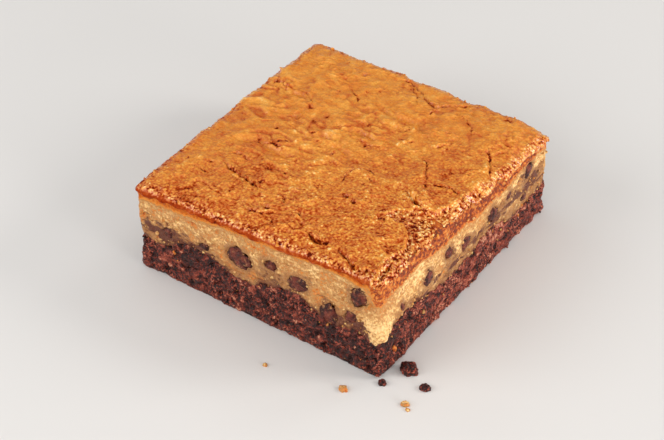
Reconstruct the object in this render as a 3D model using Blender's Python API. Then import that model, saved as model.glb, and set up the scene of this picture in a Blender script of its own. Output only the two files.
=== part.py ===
"""A brookie: a square cut from a tray of chocolate-chip cookie baked on a brownie base.

Standalone script for Blender 4.5, in metres with +Z up. The origin is the middle of the flat
underside. The front cut face looks along -Y and the right one along +X. The bar is two layers that
meet on a wavy join, and every chocolate chip that shows at a cut face sits in a pocket of its own.
"""

import math
import random

import bmesh
import bpy
from mathutils import Matrix, Vector, noise

MM = 0.001

# Driving sizes of the bar, out to the lip of the crust
HALF_X = 33.3 * MM
HALF_Y = 35.2 * MM
CORNER_RADIUS = 1.4 * MM

# Height of the baked top over each corner; the slice is thickest at its front right corner
TOP_FRONT_LEFT = 24.2 * MM
TOP_FRONT_RIGHT = 28.0 * MM
TOP_BACK_RIGHT = 23.2 * MM
TOP_BACK_LEFT = 22.8 * MM
TOP_SWELL = 0.7 * MM
TOP_SWELL_REACH = 11.0 * MM

# Height of the join between brownie and cookie over each corner, and its waves
JOIN_FRONT_LEFT = 9.6 * MM
JOIN_FRONT_RIGHT = 10.6 * MM
JOIN_BACK_RIGHT = 7.8 * MM
JOIN_BACK_LEFT = 9.2 * MM
JOIN_FRONT_RISE = 1.3 * MM
JOIN_RISE_FROM = 0.6
JOIN_WAVE_X = 1.9 * MM
JOIN_LENGTH_X = 25.0 * MM
JOIN_CREST_X = 9.0 * MM
JOIN_DRIFT = 0.3
JOIN_WAVE_Y = 1.1 * MM
JOIN_LENGTH_Y = 32.0 * MM
JOIN_CREST_Y = 9.0 * MM
JOIN_WAVE_FADE = 4
JOIN_TONGUE = 3.2 * MM
JOIN_TONGUE_REACH = 4.6 * MM
JOIN_CORE = 9.4 * MM
JOIN_CORE_FROM = 4.0 * MM
JOIN_CORE_TO = 10.0 * MM
GAP = 0.3 * MM

# Cells of the shaped block that each layer starts as, how far out a block point counts as one of
# its sides, and the angles under which faces are joined and over which edges are sharp
CELLS_X = 31
CELLS_Y = 33
SIDE_FROM = 0.999
FLAT_ANGLE = math.radians(0.02)
LAYER_SHARP_ANGLE = math.radians(40.0)

# Side profiles, bottom to top. The brownie's says (outward offset, share of the join's height)
# and stops below the join, which has an offset of its own. The cookie's wall goes on from there
# with (outward offset, share of the wall), and its crust with (outward offset, drop).
BROWNIE_SIDE = [
    (-0.8 * MM, 0.0),
    (-0.4 * MM, 0.10),
    (-0.3 * MM, 0.35),
    (-0.5 * MM, 0.68),
]
JOIN_OFFSET = -0.9 * MM
COOKIE_WALL = [
    (-0.6 * MM, 0.22),
    (-0.5 * MM, 0.50),
    (-0.6 * MM, 0.78),
    (-0.9 * MM, 1.0),
]
CRUST_RIM = [
    (-0.3 * MM, 2.5 * MM),
    (0.0 * MM, 1.9 * MM),
    (-0.1 * MM, 1.2 * MM),
    (-0.6 * MM, 0.5 * MM),
    (-1.7 * MM, 0.0 * MM),
]
CRUST_DEPTH = 3.2 * MM

# Relief of the cut faces and of the top: (how far it moves the surface, how wide its bumps are),
# and the shifts that set one pattern off another
BROWNIE_CRAGS = [(0.55 * MM, 5.0 * MM), (0.35 * MM, 2.2 * MM)]
COOKIE_CRAGS = [(0.35 * MM, 6.0 * MM), (0.15 * MM, 2.4 * MM)]
EDGE_CRAG_SHARE = 0.4
CRUST_WRINKLES = [(0.30 * MM, 7.0 * MM), (0.16 * MM, 3.0 * MM)]
RIM_WAVES = [(0.35 * MM, 8.0 * MM), (0.15 * MM, 3.0 * MM)]
CRAG_SHIFT = 0.0
WRINKLE_SHIFT = 3.0
RIM_SHIFT = 5.0

# The patch near the right front corner where the crust has flaked off: it fades out at its reach,
# measured in its half sizes, over its blend
FLAKE_CENTRE = (31.0 * MM, -13.5 * MM)
FLAKE_HALF = (4.6 * MM, 8.0 * MM)
FLAKE_DEPTH = 0.8 * MM
FLAKE_REACH = 1.3
FLAKE_BLEND = 0.5

# Chips at a cut face: (place along the face, height, width, height of the chip, tilt in degrees)
FRONT_CHIPS = [
    (-24.5, 13.6, 2.8, 3.0, 10),
    (-19.8, 6.6, 3.6, 3.4, 0),
    (-14.0, 14.8, 3.6, 2.6, -15),
    (-4.2, 16.2, 7.4, 6.0, 18),
    (4.3, 18.4, 4.2, 3.4, 10),
    (11.6, 16.6, 6.0, 4.8, -12),
    (19.8, 12.0, 5.4, 6.4, 8),
    (27.6, 21.0, 5.0, 6.4, 6),
    (25.6, 14.4, 3.6, 4.6, 38),
]
RIGHT_CHIPS = [
    (-26.5, 14.8, 2.2, 3.4, -20),
    (-16.3, 15.6, 4.0, 5.4, -14),
    (-8.0, 16.6, 4.0, 3.6, 0),
    (-1.2, 14.6, 4.4, 4.8, -30),
    (10.6, 14.8, 4.4, 5.4, -18),
    (17.2, 15.8, 2.8, 2.8, 0),
    (26.0, 17.4, 4.6, 5.0, 12),
    (24.4, 10.6, 3.2, 2.4, 20),
]
HIDDEN_CHIPS = 8
HIDDEN_CHIP_WIDTHS = (3.0, 6.6)
HIDDEN_CHIP_HEIGHTS = (11.6, 16.8)
HIDDEN_CHIP_TALLNESS = (0.8, 1.15)
HIDDEN_CHIP_TILTS = (-30.0, 30.0)
HIDDEN_CHIP_SHIFTS = (-1.0, 1.0)
HIDDEN_CHIP_MARGIN = 4.0
HIDDEN_CHIP_SEED = 7

# How a chip sits: its cut face over the wall, its depth behind it and its pocket's clearance
CHIP_PROUD = 0.35 * MM
CHIP_DEPTH_SHARE = 0.62
WALL_OFFSET = -0.6 * MM
CHIP_SIDES = 9
CHIP_RINGS = 6
CHIP_TAPER = 0.30
CHIP_TAPER_POWER = 1.5
CHIP_SHARP_ANGLE = math.radians(50.0)

# Cracks in the crust: where each one turns on the top, in millimetres, and how wide it opens
CRACKS = {
    "corner": (0.75, [(17.0, -30.4), (20.5, -30.2), (24.0, -31.6), (27.6, -32.4), (30.6, -31.2)]),
    "corner_right": (0.65, [(30.4, -30.4), (30.2, -26.4), (30.8, -22.6)]),
    "left_flake": (0.60, [(-21.0, -18.8), (-16.4, -20.0), (-12.0, -21.8), (-7.6, -23.2)]),
    "thin_line": (0.45, [(-13.2, -15.4), (-9.0, -14.8), (-5.0, -14.6), (-1.4, -15.0)]),
    "arch": (0.55, [(6.6, -10.8), (5.6, -7.4), (6.6, -4.4), (9.8, -3.6), (13.0, -4.2)]),
    "upright": (0.50, [(15.8, 9.2), (18.4, 4.8), (20.8, 1.6), (23.0, -3.2)]),
    "flap": (0.75, [(20.4, -5.6), (23.4, -7.0), (26.4, -8.0), (28.4, -7.8)]),
    "back_corner": (0.70, [(-7.0, 32.0), (0.4, 31.2), (4.0, 28.0), (8.8, 28.4), (13.4, 32.4)]),
    "left_edge": (0.70, [(-30.6, 15.6), (-27.0, 14.0), (-21.0, 14.4), (-17.2, 11.0)]),
}
CRACK_STEP = 2.0 * MM
CRACK_RAGGED = 0.35 * MM
CRACK_RAGGED_LENGTH = 2.0 * MM
CRACK_SHIFT = Vector((9.0, 0.0, 0.0))
CRACK_RISE = 0.1 * MM
CRACK_RADIUS_SHARE = 0.85
CRACK_END_SHARE = 0.45
CRACK_GROWTH = 0.4
WELD_DISTANCE = 0.001 * MM

# Colours as linear RGB, and roughnesses
BROWNIE_COLOUR = (0.045, 0.016, 0.010)
BROWNIE_ROUGHNESS = 0.75
COOKIE_COLOUR = (0.62, 0.32, 0.10)
COOKIE_ROUGHNESS = 0.65
CHIP_COLOUR = (0.060, 0.022, 0.015)
CHIP_ROUGHNESS = 0.35


def smooth(value, start, end):
    """0 before start, 1 after end and an even S between them."""
    t = min(1.0, max(0.0, (value - start) / (end - start)))
    return t * t * (3.0 - 2.0 * t)


def over_corners(x, y, front_left, front_right, back_right, back_left):
    """The value at (x, y) of a sheet stretched between four corner values."""
    u = 0.5 + 0.5 * x / HALF_X
    v = 0.5 + 0.5 * y / HALF_Y
    front = front_left + (front_right - front_left) * u
    back = back_left + (back_right - back_left) * u
    return front + (back - front) * v


def relief(point, layers, shift):
    """Sum of smooth noise layers at a point; shift moves one surface's pattern off another's."""
    total = 0.0
    for depth, width in layers:
        total += depth * noise.noise(point / width + Vector((shift, shift, shift)))
    return total


def edge_distance(x, y):
    """How far a plan position lies inside the bar's sides."""
    return min(HALF_X - abs(x), HALF_Y - abs(y))


def join_height(x, y):
    """Height of the join between the layers: wavy where it shows, level inside the bar."""
    corners = (JOIN_FRONT_LEFT, JOIN_FRONT_RIGHT, JOIN_BACK_RIGHT, JOIN_BACK_LEFT)
    height = over_corners(x, y, *corners)
    height += JOIN_FRONT_RISE * smooth(-y / HALF_Y, JOIN_RISE_FROM, 1.0)
    turn_x = (x - JOIN_CREST_X + JOIN_DRIFT * (y + HALF_Y)) / JOIN_LENGTH_X
    at_edge = (abs(y) / HALF_Y) ** JOIN_WAVE_FADE
    height += JOIN_WAVE_X * at_edge * math.cos(2.0 * math.pi * turn_x)
    turn_y = (y - JOIN_CREST_Y) / JOIN_LENGTH_Y
    at_edge = (abs(x) / HALF_X) ** JOIN_WAVE_FADE
    height += JOIN_WAVE_Y * at_edge * math.cos(2.0 * math.pi * turn_y)
    from_corner = math.hypot(x - HALF_X, y + HALF_Y)
    height -= JOIN_TONGUE * math.exp(-((from_corner / JOIN_TONGUE_REACH) ** 2))
    inside = smooth(edge_distance(x, y), JOIN_CORE_FROM, JOIN_CORE_TO)
    return height + (JOIN_CORE - height) * inside


def top_height(x, y):
    """Height of the baked top, with its swell, wrinkles and flaked patch."""
    corners = (TOP_FRONT_LEFT, TOP_FRONT_RIGHT, TOP_BACK_RIGHT, TOP_BACK_LEFT)
    height = over_corners(x, y, *corners)
    height += TOP_SWELL * smooth(edge_distance(x, y), 0.0, TOP_SWELL_REACH)
    height += relief(Vector((x, y, 0.0)), CRUST_WRINKLES, WRINKLE_SHIFT)
    across = (x - FLAKE_CENTRE[0]) / FLAKE_HALF[0]
    along = (y - FLAKE_CENTRE[1]) / FLAKE_HALF[1]
    return height - FLAKE_DEPTH * smooth(FLAKE_REACH - math.hypot(across, along), 0.0, FLAKE_BLEND)


def rounded_plan(u, v, offset):
    """Plan position of a block point (u, v from -1 to 1), its corners rounded, moved outwards."""
    flat_x = 1.0 - CORNER_RADIUS / HALF_X
    flat_y = 1.0 - CORNER_RADIUS / HALF_Y
    across, along = abs(u), abs(v)
    if across > flat_x and along > flat_y:
        p = (across - flat_x) / (1.0 - flat_x)
        q = (along - flat_y) / (1.0 - flat_y)
        across = flat_x + (1.0 - flat_x) * p * math.sqrt(1.0 - 0.5 * q * q)
        along = flat_y + (1.0 - flat_y) * q * math.sqrt(1.0 - 0.5 * p * p)
    x = math.copysign(across, u) * (HALF_X + offset)
    y = math.copysign(along, v) * (HALF_Y + offset)
    return x, y


def block(levels):
    """A bmesh cube with a grid on every face and as many rows up its sides as there are levels."""
    bm = bmesh.new()
    bmesh.ops.create_cube(bm, size=2.0)
    for axis, cells in enumerate((CELLS_X, CELLS_Y, levels - 1)):
        along = []
        for edge in bm.edges:
            span = edge.verts[1].co - edge.verts[0].co
            if abs(span[axis]) > 0.5 * span.length:
                along.append(edge)
        bmesh.ops.subdivide_edges(bm, edges=along, cuts=cells - 1, use_grid_fill=True)
    return bm


def layer_object(name, levels, shape, material, collection):
    """A layer made by moving each point of a block to shape(u, v, level), its flats dissolved.

    Quads are split along their shorter diagonal, so that the layers' facing sides split alike.
    """
    bm = block(levels)
    for vert in bm.verts:
        level = round((vert.co.z + 1.0) / 2.0 * (levels - 1))
        vert.co = shape(vert.co.x, vert.co.y, level)
    bmesh.ops.dissolve_limit(bm, angle_limit=FLAT_ANGLE, verts=bm.verts, edges=bm.edges)
    bmesh.ops.triangulate(bm, faces=bm.faces, quad_method="SHORT_EDGE")
    bmesh.ops.recalc_face_normals(bm, faces=bm.faces)
    mesh = bpy.data.meshes.new(name)
    bm.to_mesh(mesh)
    bm.free()
    mesh.shade_smooth()
    mesh.set_sharp_from_angle(angle=LAYER_SHARP_ANGLE)
    mesh.materials.append(material)
    obj = bpy.data.objects.new(name, mesh)
    collection.objects.link(obj)
    return obj


def on_side(u, v):
    """Whether a block point lies on one of its four sides."""
    return abs(u) > SIDE_FROM or abs(v) > SIDE_FROM


def join_plan(u, v):
    """Plan position of a block point where the layers meet, the same for both of them."""
    x, y = rounded_plan(u, v, JOIN_OFFSET)
    if on_side(u, v):
        crag = relief(Vector((x, y, JOIN_CORE)), BROWNIE_CRAGS, CRAG_SHIFT)
        x, y = rounded_plan(u, v, JOIN_OFFSET + EDGE_CRAG_SHARE * crag)
    return x, y


def brownie_point(u, v, level):
    """Place of a brownie block point: flat below, craggy at the sides, wavy on top."""
    if level == len(BROWNIE_SIDE):
        x, y = join_plan(u, v)
        return Vector((x, y, join_height(x, y) - 0.5 * GAP))
    offset, share = BROWNIE_SIDE[level]
    x, y = rounded_plan(u, v, offset)
    height = share * join_height(x, y)
    if on_side(u, v):
        crag = relief(Vector((x, y, height)), BROWNIE_CRAGS, CRAG_SHIFT)
        x, y = rounded_plan(u, v, offset + (EDGE_CRAG_SHARE * crag if level == 0 else crag))
    return Vector((x, y, height))


def cookie_point(u, v, level):
    """Place of a cookie block point: wavy below, a doughy wall, and a rim that rolls over on top."""
    if level == 0:
        x, y = join_plan(u, v)
        return Vector((x, y, join_height(x, y) + 0.5 * GAP))
    rim_level = level - 1 - len(COOKIE_WALL)
    if rim_level < 0:
        offset, share = COOKIE_WALL[level - 1]
        x, y = rounded_plan(u, v, offset)
        low = join_height(x, y)
        height = low + (top_height(x, y) - CRUST_DEPTH - low) * share
        if on_side(u, v):
            crag = relief(Vector((x, y, height)), COOKIE_CRAGS, CRAG_SHIFT)
            x, y = rounded_plan(u, v, offset + crag)
        return Vector((x, y, height))
    offset, drop = CRUST_RIM[rim_level]
    x, y = rounded_plan(u, v, offset)
    if on_side(u, v):
        wave = relief(Vector((x, y, 0.0)), RIM_WAVES, RIM_SHIFT)
        x, y = rounded_plan(u, v, offset + wave)
    return Vector((x, y, top_height(x, y) - drop))


def wall_frame(side):
    """Matrix whose X runs along a cut face, Y into the bar and Z up, from the face's middle."""
    turn = {"front": 0.0, "right": 90.0, "back": 180.0, "left": 270.0}[side]
    reach = (HALF_Y if side in ("front", "back") else HALF_X) + WALL_OFFSET
    return Matrix.Rotation(math.radians(turn), 4, "Z") @ Matrix.Translation((0.0, -reach, 0.0))


def chip_mesh(name, width, tall, grow, cut):
    """A drop of chocolate, narrower at the top, whose side towards the knife is cut flat."""
    bm = bmesh.new()
    bmesh.ops.create_uvsphere(bm, u_segments=CHIP_SIDES, v_segments=CHIP_RINGS, radius=1.0)
    poles_into_bar = Matrix.Rotation(math.radians(90.0), 3, "X")
    bmesh.ops.rotate(bm, verts=bm.verts, cent=(0.0, 0.0, 0.0), matrix=poles_into_bar)
    for vert in bm.verts:
        narrow = 1.0 - CHIP_TAPER * max(0.0, vert.co.z) ** CHIP_TAPER_POWER
        vert.co.x *= (0.5 * width * narrow) + grow
        vert.co.y *= CHIP_DEPTH_SHARE * width + grow
        vert.co.z *= 0.5 * tall + grow
    if cut:
        plane = {"plane_co": (0.0, -CHIP_PROUD, 0.0), "plane_no": (0.0, -1.0, 0.0)}
        everything = bm.verts[:] + bm.edges[:] + bm.faces[:]
        found = bmesh.ops.bisect_plane(bm, geom=everything, clear_outer=True, **plane)
        rim = [item for item in found["geom_cut"] if isinstance(item, bmesh.types.BMEdge)]
        bmesh.ops.contextual_create(bm, geom=rim)
    bmesh.ops.recalc_face_normals(bm, faces=bm.faces)
    mesh = bpy.data.meshes.new(name)
    bm.to_mesh(mesh)
    bm.free()
    return mesh


def hidden_chips(rng):
    """Chips of a cut face that the camera doesn't see, spread along it as on the faces it does."""
    span = 2.0 * (min(HALF_X, HALF_Y) / MM - HIDDEN_CHIP_MARGIN)
    chips = []
    for index in range(HIDDEN_CHIPS):
        along = -0.5 * span + span * (index + 0.5) / HIDDEN_CHIPS + rng.uniform(*HIDDEN_CHIP_SHIFTS)
        width = rng.uniform(*HIDDEN_CHIP_WIDTHS)
        height = rng.uniform(*HIDDEN_CHIP_HEIGHTS)
        tall = width * rng.uniform(*HIDDEN_CHIP_TALLNESS)
        chips.append((along, height, width, tall, rng.uniform(*HIDDEN_CHIP_TILTS)))
    return chips


def add_chips(side, chips, material, parts, cutters):
    """Each chip of a cut face as a solid of its own, and the pocket it sits in as a cutter."""
    frame = wall_frame(side)
    for index, (along, height, width, tall, tilt) in enumerate(chips, start=1):
        place = frame @ Matrix.Translation((along * MM, 0.0, height * MM))
        place = place @ Matrix.Rotation(math.radians(tilt), 4, "Y")
        name = f"chip_{side}_{index}"
        for kind, grow, collection in (("", 0.0, parts), ("pocket_", GAP, cutters)):
            mesh = chip_mesh(kind + name, width * MM, tall * MM, grow, cut=not kind)
            obj = bpy.data.objects.new(kind + name, mesh)
            obj.matrix_world = place
            collection.objects.link(obj)
            if kind:
                obj.hide_render = True
                obj.display_type = "WIRE"
            else:
                mesh.shade_smooth()
                mesh.set_sharp_from_angle(angle=CHIP_SHARP_ANGLE)
                mesh.materials.append(material)


def crack_points(turns):
    """Points along a crack, a step apart, ragged sideways, on the surface of the crust."""
    corners = [Vector((x * MM, y * MM, 0.0)) for x, y in turns]
    points = []
    for start, end in zip(corners, corners[1:]):
        steps = max(1, round((end - start).length / CRACK_STEP))
        sideways = (end - start).normalized().cross(Vector((0.0, 0.0, 1.0)))
        for step in range(steps):
            point = start.lerp(end, step / steps)
            ragged = CRACK_RAGGED * noise.noise(point / CRACK_RAGGED_LENGTH + CRACK_SHIFT)
            points.append(point + sideways * ragged)
    points.append(corners[-1])
    for point in points:
        point.z = top_height(point.x, point.y) + CRACK_RISE
    return points


def add_crack(name, width, turns, cutters):
    """A square-section cutter along a crack, which leaves a groove in the crust."""
    curve = bpy.data.curves.new(name, "CURVE")
    curve.dimensions = "3D"
    curve.bevel_depth = CRACK_RADIUS_SHARE * width * MM
    curve.bevel_resolution = 0
    curve.use_fill_caps = True
    points = crack_points(turns)
    spline = curve.splines.new("POLY")
    spline.points.add(len(points) - 1)
    for index, (target, point) in enumerate(zip(spline.points, points)):
        target.co = (*point, 1.0)
        from_end = min(index, len(points) - 1 - index)
        target.radius = min(1.0, CRACK_END_SHARE + CRACK_GROWTH * from_end)
    guide = bpy.data.objects.new(name + "_guide", curve)
    bpy.context.scene.collection.objects.link(guide)
    bpy.context.view_layer.update()
    graph = bpy.context.evaluated_depsgraph_get()
    mesh = bpy.data.meshes.new_from_object(guide.evaluated_get(graph))
    bpy.data.objects.remove(guide)
    bm = bmesh.new()
    bm.from_mesh(mesh)
    bmesh.ops.remove_doubles(bm, verts=bm.verts, dist=WELD_DISTANCE)
    bmesh.ops.recalc_face_normals(bm, faces=bm.faces)
    bm.to_mesh(mesh)
    bm.free()
    obj = bpy.data.objects.new(name, mesh)
    obj.hide_render = True
    obj.display_type = "WIRE"
    cutters.objects.link(obj)


def cut_with(obj, collection):
    """Cuts every solid of a collection out of an object."""
    cut = obj.modifiers.new("cut_" + collection.name, "BOOLEAN")
    cut.operation = "DIFFERENCE"
    cut.operand_type = "COLLECTION"
    cut.collection = collection
    cut.solver = "EXACT"


def material_of(name, colour, roughness):
    """A plain food material."""
    material = bpy.data.materials.new(name)
    material.use_nodes = True
    shader = material.node_tree.nodes["Principled BSDF"]
    shader.inputs["Base Color"].default_value = (*colour, 1.0)
    shader.inputs["Roughness"].default_value = roughness
    shader.inputs["Metallic"].default_value = 0.0
    return material


def new_collection(name):
    """A collection linked to the scene."""
    collection = bpy.data.collections.new(name)
    bpy.context.scene.collection.children.link(collection)
    return collection


def main():
    """Clears the scene and builds the brookie."""
    for obj in list(bpy.data.objects):
        bpy.data.objects.remove(obj)
    parts = new_collection("brookie")
    pockets = new_collection("chip_pockets")
    grooves = new_collection("crust_cracks")
    brownie = material_of("brownie", BROWNIE_COLOUR, BROWNIE_ROUGHNESS)
    cookie = material_of("cookie", COOKIE_COLOUR, COOKIE_ROUGHNESS)
    chocolate = material_of("chocolate", CHIP_COLOUR, CHIP_ROUGHNESS)
    brownie_levels = len(BROWNIE_SIDE) + 1
    base = layer_object("brownie_layer", brownie_levels, brownie_point, brownie, parts)
    cookie_levels = 1 + len(COOKIE_WALL) + len(CRUST_RIM)
    upper = layer_object("cookie_layer", cookie_levels, cookie_point, cookie, parts)
    rng = random.Random(HIDDEN_CHIP_SEED)
    faces = {"front": FRONT_CHIPS, "right": RIGHT_CHIPS}
    faces["back"] = hidden_chips(rng)
    faces["left"] = hidden_chips(rng)
    for side, chips in faces.items():
        add_chips(side, chips, chocolate, parts, pockets)
    for name, (width, turns) in CRACKS.items():
        add_crack("crack_" + name, width, turns, grooves)
    cut_with(base, pockets)
    cut_with(upper, pockets)
    cut_with(upper, grooves)


main()
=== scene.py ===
"""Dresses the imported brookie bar: baked crust, doughy cookie, craggy brownie, sliced chips, crumbs.

Sizes are in metres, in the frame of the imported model. The origin is the middle of the underside,
the front cut face looks along -Y and the right one along +X. The shape formulas are those of the
part's own source, and each piece adds its fine relief to them.
"""

import itertools
import logging
import math
from dataclasses import dataclass, field
from enum import Enum

import bpy
import numpy as np
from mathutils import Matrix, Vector, noise

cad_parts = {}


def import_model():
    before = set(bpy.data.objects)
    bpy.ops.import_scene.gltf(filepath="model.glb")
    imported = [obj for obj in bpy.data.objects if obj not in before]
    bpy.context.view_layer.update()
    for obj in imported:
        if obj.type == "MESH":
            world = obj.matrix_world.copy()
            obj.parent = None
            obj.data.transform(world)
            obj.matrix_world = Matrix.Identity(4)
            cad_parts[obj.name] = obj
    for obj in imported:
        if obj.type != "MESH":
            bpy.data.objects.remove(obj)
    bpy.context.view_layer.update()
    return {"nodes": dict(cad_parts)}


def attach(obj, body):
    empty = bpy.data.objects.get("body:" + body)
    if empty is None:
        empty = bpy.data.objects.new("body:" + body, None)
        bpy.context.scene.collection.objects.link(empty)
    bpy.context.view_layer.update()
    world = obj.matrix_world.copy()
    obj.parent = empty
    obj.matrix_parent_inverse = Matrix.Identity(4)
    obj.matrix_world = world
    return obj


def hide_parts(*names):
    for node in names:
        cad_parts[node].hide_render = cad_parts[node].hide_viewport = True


MM = 0.001
ROOT = "root"
LOG = logging.getLogger("brookie")
EDGE_DIRECTIONS = np.array(
    [(a, b, 0) for a in (-1, 1) for b in (-1, 1)]
    + [(a, 0, b) for a in (-1, 1) for b in (-1, 1)]
    + [(0, a, b) for a in (-1, 1) for b in (-1, 1)],
    dtype=float,
)


class Side(Enum):
    """A cut face of the bar, with the plan direction that it looks along."""

    FRONT = (0, -1)
    RIGHT = (1, 0)
    BACK = (0, 1)
    LEFT = (-1, 0)

    @property
    def outward(self) -> np.ndarray:
        """The direction out of the face."""
        return np.array([*self.value, 0.0])

    @property
    def along(self) -> np.ndarray:
        """The level direction along the face, anticlockwise seen from above."""
        return np.array([-self.value[1], self.value[0], 0.0])


class Slot(Enum):
    """The record's material slots, one for each finish."""

    CRUST = "crust"
    COOKIE = "cookie"
    BROWNIE = "brownie"
    CHOCOLATE = "chocolate"


def smooth(value: np.ndarray, start: float, end: float) -> np.ndarray:
    """Rises from 0 at start to 1 at end along an even S."""
    t = np.clip((value - start) / (end - start), 0.0, 1.0)
    return t * t * (3.0 - 2.0 * t)


def scatter(cells: np.ndarray, seed: int) -> np.ndarray:
    """Gives each cell of a lattice an even random number.

    Args:
        cells: Whole lattice places, shape (n, 3).
        seed: Picks one set of numbers.

    Returns:
        Numbers from 0 to 1, shape (n,).
    """
    part = cells.astype(np.int64).astype(np.uint32)
    mixed = part[:, 0] * np.uint32(0x8DA6B343) ^ part[:, 1] * np.uint32(0xD8163841)
    mixed = mixed ^ part[:, 2] * np.uint32(0xCB1AB31F) ^ np.uint32(seed * 0x9E3779B1 & 0xFFFFFFFF)
    mixed = (mixed ^ (mixed >> np.uint32(15))) * np.uint32(0x2C1B3C6D)
    mixed = (mixed ^ (mixed >> np.uint32(12))) * np.uint32(0x297A2D39)
    mixed = mixed ^ (mixed >> np.uint32(15))
    return mixed / 4294967296.0


def ripple(points: np.ndarray, size: float, seed: int) -> np.ndarray:
    """Smooth random bumps.

    Args:
        points: Places, shape (n, 3).
        size: Width of a bump.
        seed: Picks one pattern.

    Returns:
        Values from about -1 to 1, shape (n,).
    """
    scaled = points / size
    base = np.floor(scaled)
    part = scaled - base
    fade = part**3 * (part * (part * 6.0 - 15.0) + 10.0)
    total = np.zeros(len(points))
    for corner in itertools.product((0, 1), repeat=3):
        step = np.array(corner, dtype=float)
        pick = (scatter(base + step, seed) * len(EDGE_DIRECTIONS)).astype(int)
        lean = (EDGE_DIRECTIONS[pick] * (part - step)).sum(axis=1)
        total += lean * np.where(step > 0.5, fade, 1.0 - fade).prod(axis=1)
    return total


def rough(points: np.ndarray, size: float, seed: int, octaves: int = 3) -> np.ndarray:
    """Bumps on bumps: each octave is half as wide and half as high as the one before it."""
    total = np.zeros(len(points))
    weight = 0.0
    for octave in range(octaves):
        share = 0.5**octave
        total += share * ripple(points, size * share, seed + octave)
        weight += share
    return total / weight


def pebbles(points: np.ndarray, size: float, seed: int) -> tuple[np.ndarray, np.ndarray, np.ndarray]:
    """Packs space with random pebbles.

    Args:
        points: Places, shape (n, 3).
        size: Usual width of a pebble.
        seed: Picks one packing.

    Returns:
        Distance to the nearest pebble's middle and to the second nearest, in sizes, and a random
        number of the nearest pebble.
    """
    scaled = points / size
    base = np.floor(scaled)
    first = np.full(len(points), 9.0)
    second = np.full(len(points), 9.0)
    label = np.zeros(len(points))
    for neighbour in itertools.product((-1, 0, 1), repeat=3):
        cell = base + np.array(neighbour, dtype=float)
        middle = cell + np.stack([scatter(cell, seed + axis) for axis in range(3)], axis=1)
        gap = np.linalg.norm(middle - scaled, axis=1)
        closer = gap < first
        second = np.where(closer, first, np.minimum(second, gap))
        label = np.where(closer, scatter(cell, seed + 3), label)
        first = np.minimum(first, gap)
    return first, second, label


@dataclass(frozen=True)
class Bumps:
    """A layer of random bumps, each octave half as wide and half as high as the one before it."""

    size: float
    seed: int
    octaves: int = 3
    squash: tuple = (1.0, 1.0, 1.0)

    def over(self, places: np.ndarray) -> np.ndarray:
        """The bumps' heights at places, from about -1 to 1."""
        return rough(places * np.array(self.squash), self.size, self.seed, self.octaves)


@dataclass(frozen=True)
class Pebbles:
    """A random packing of pebbles."""

    size: float
    seed: int
    squash: tuple = (1.0, 1.0, 1.0)

    def over(self, places: np.ndarray) -> tuple[np.ndarray, np.ndarray, np.ndarray]:
        """What pebbles() gives for places in this packing."""
        return pebbles(places * np.array(self.squash), self.size, self.seed)


def solid_relief(points: np.ndarray, layers: tuple, shift: float) -> np.ndarray:
    """The relief that the solids have, so that the pieces swell and sink where they do.

    Args:
        points: Places, shape (n, 3).
        layers: Pairs of (depth, width) of the bumps.
        shift: Moves one surface's pattern off another's.

    Returns:
        Heights, shape (n,).
    """
    offset = Vector((shift, shift, shift))
    total = np.zeros(len(points))
    for depth, width in layers:
        values = [noise.noise(Vector(point) + offset) for point in (points / width).tolist()]
        total += depth * np.array(values)
    return total


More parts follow.
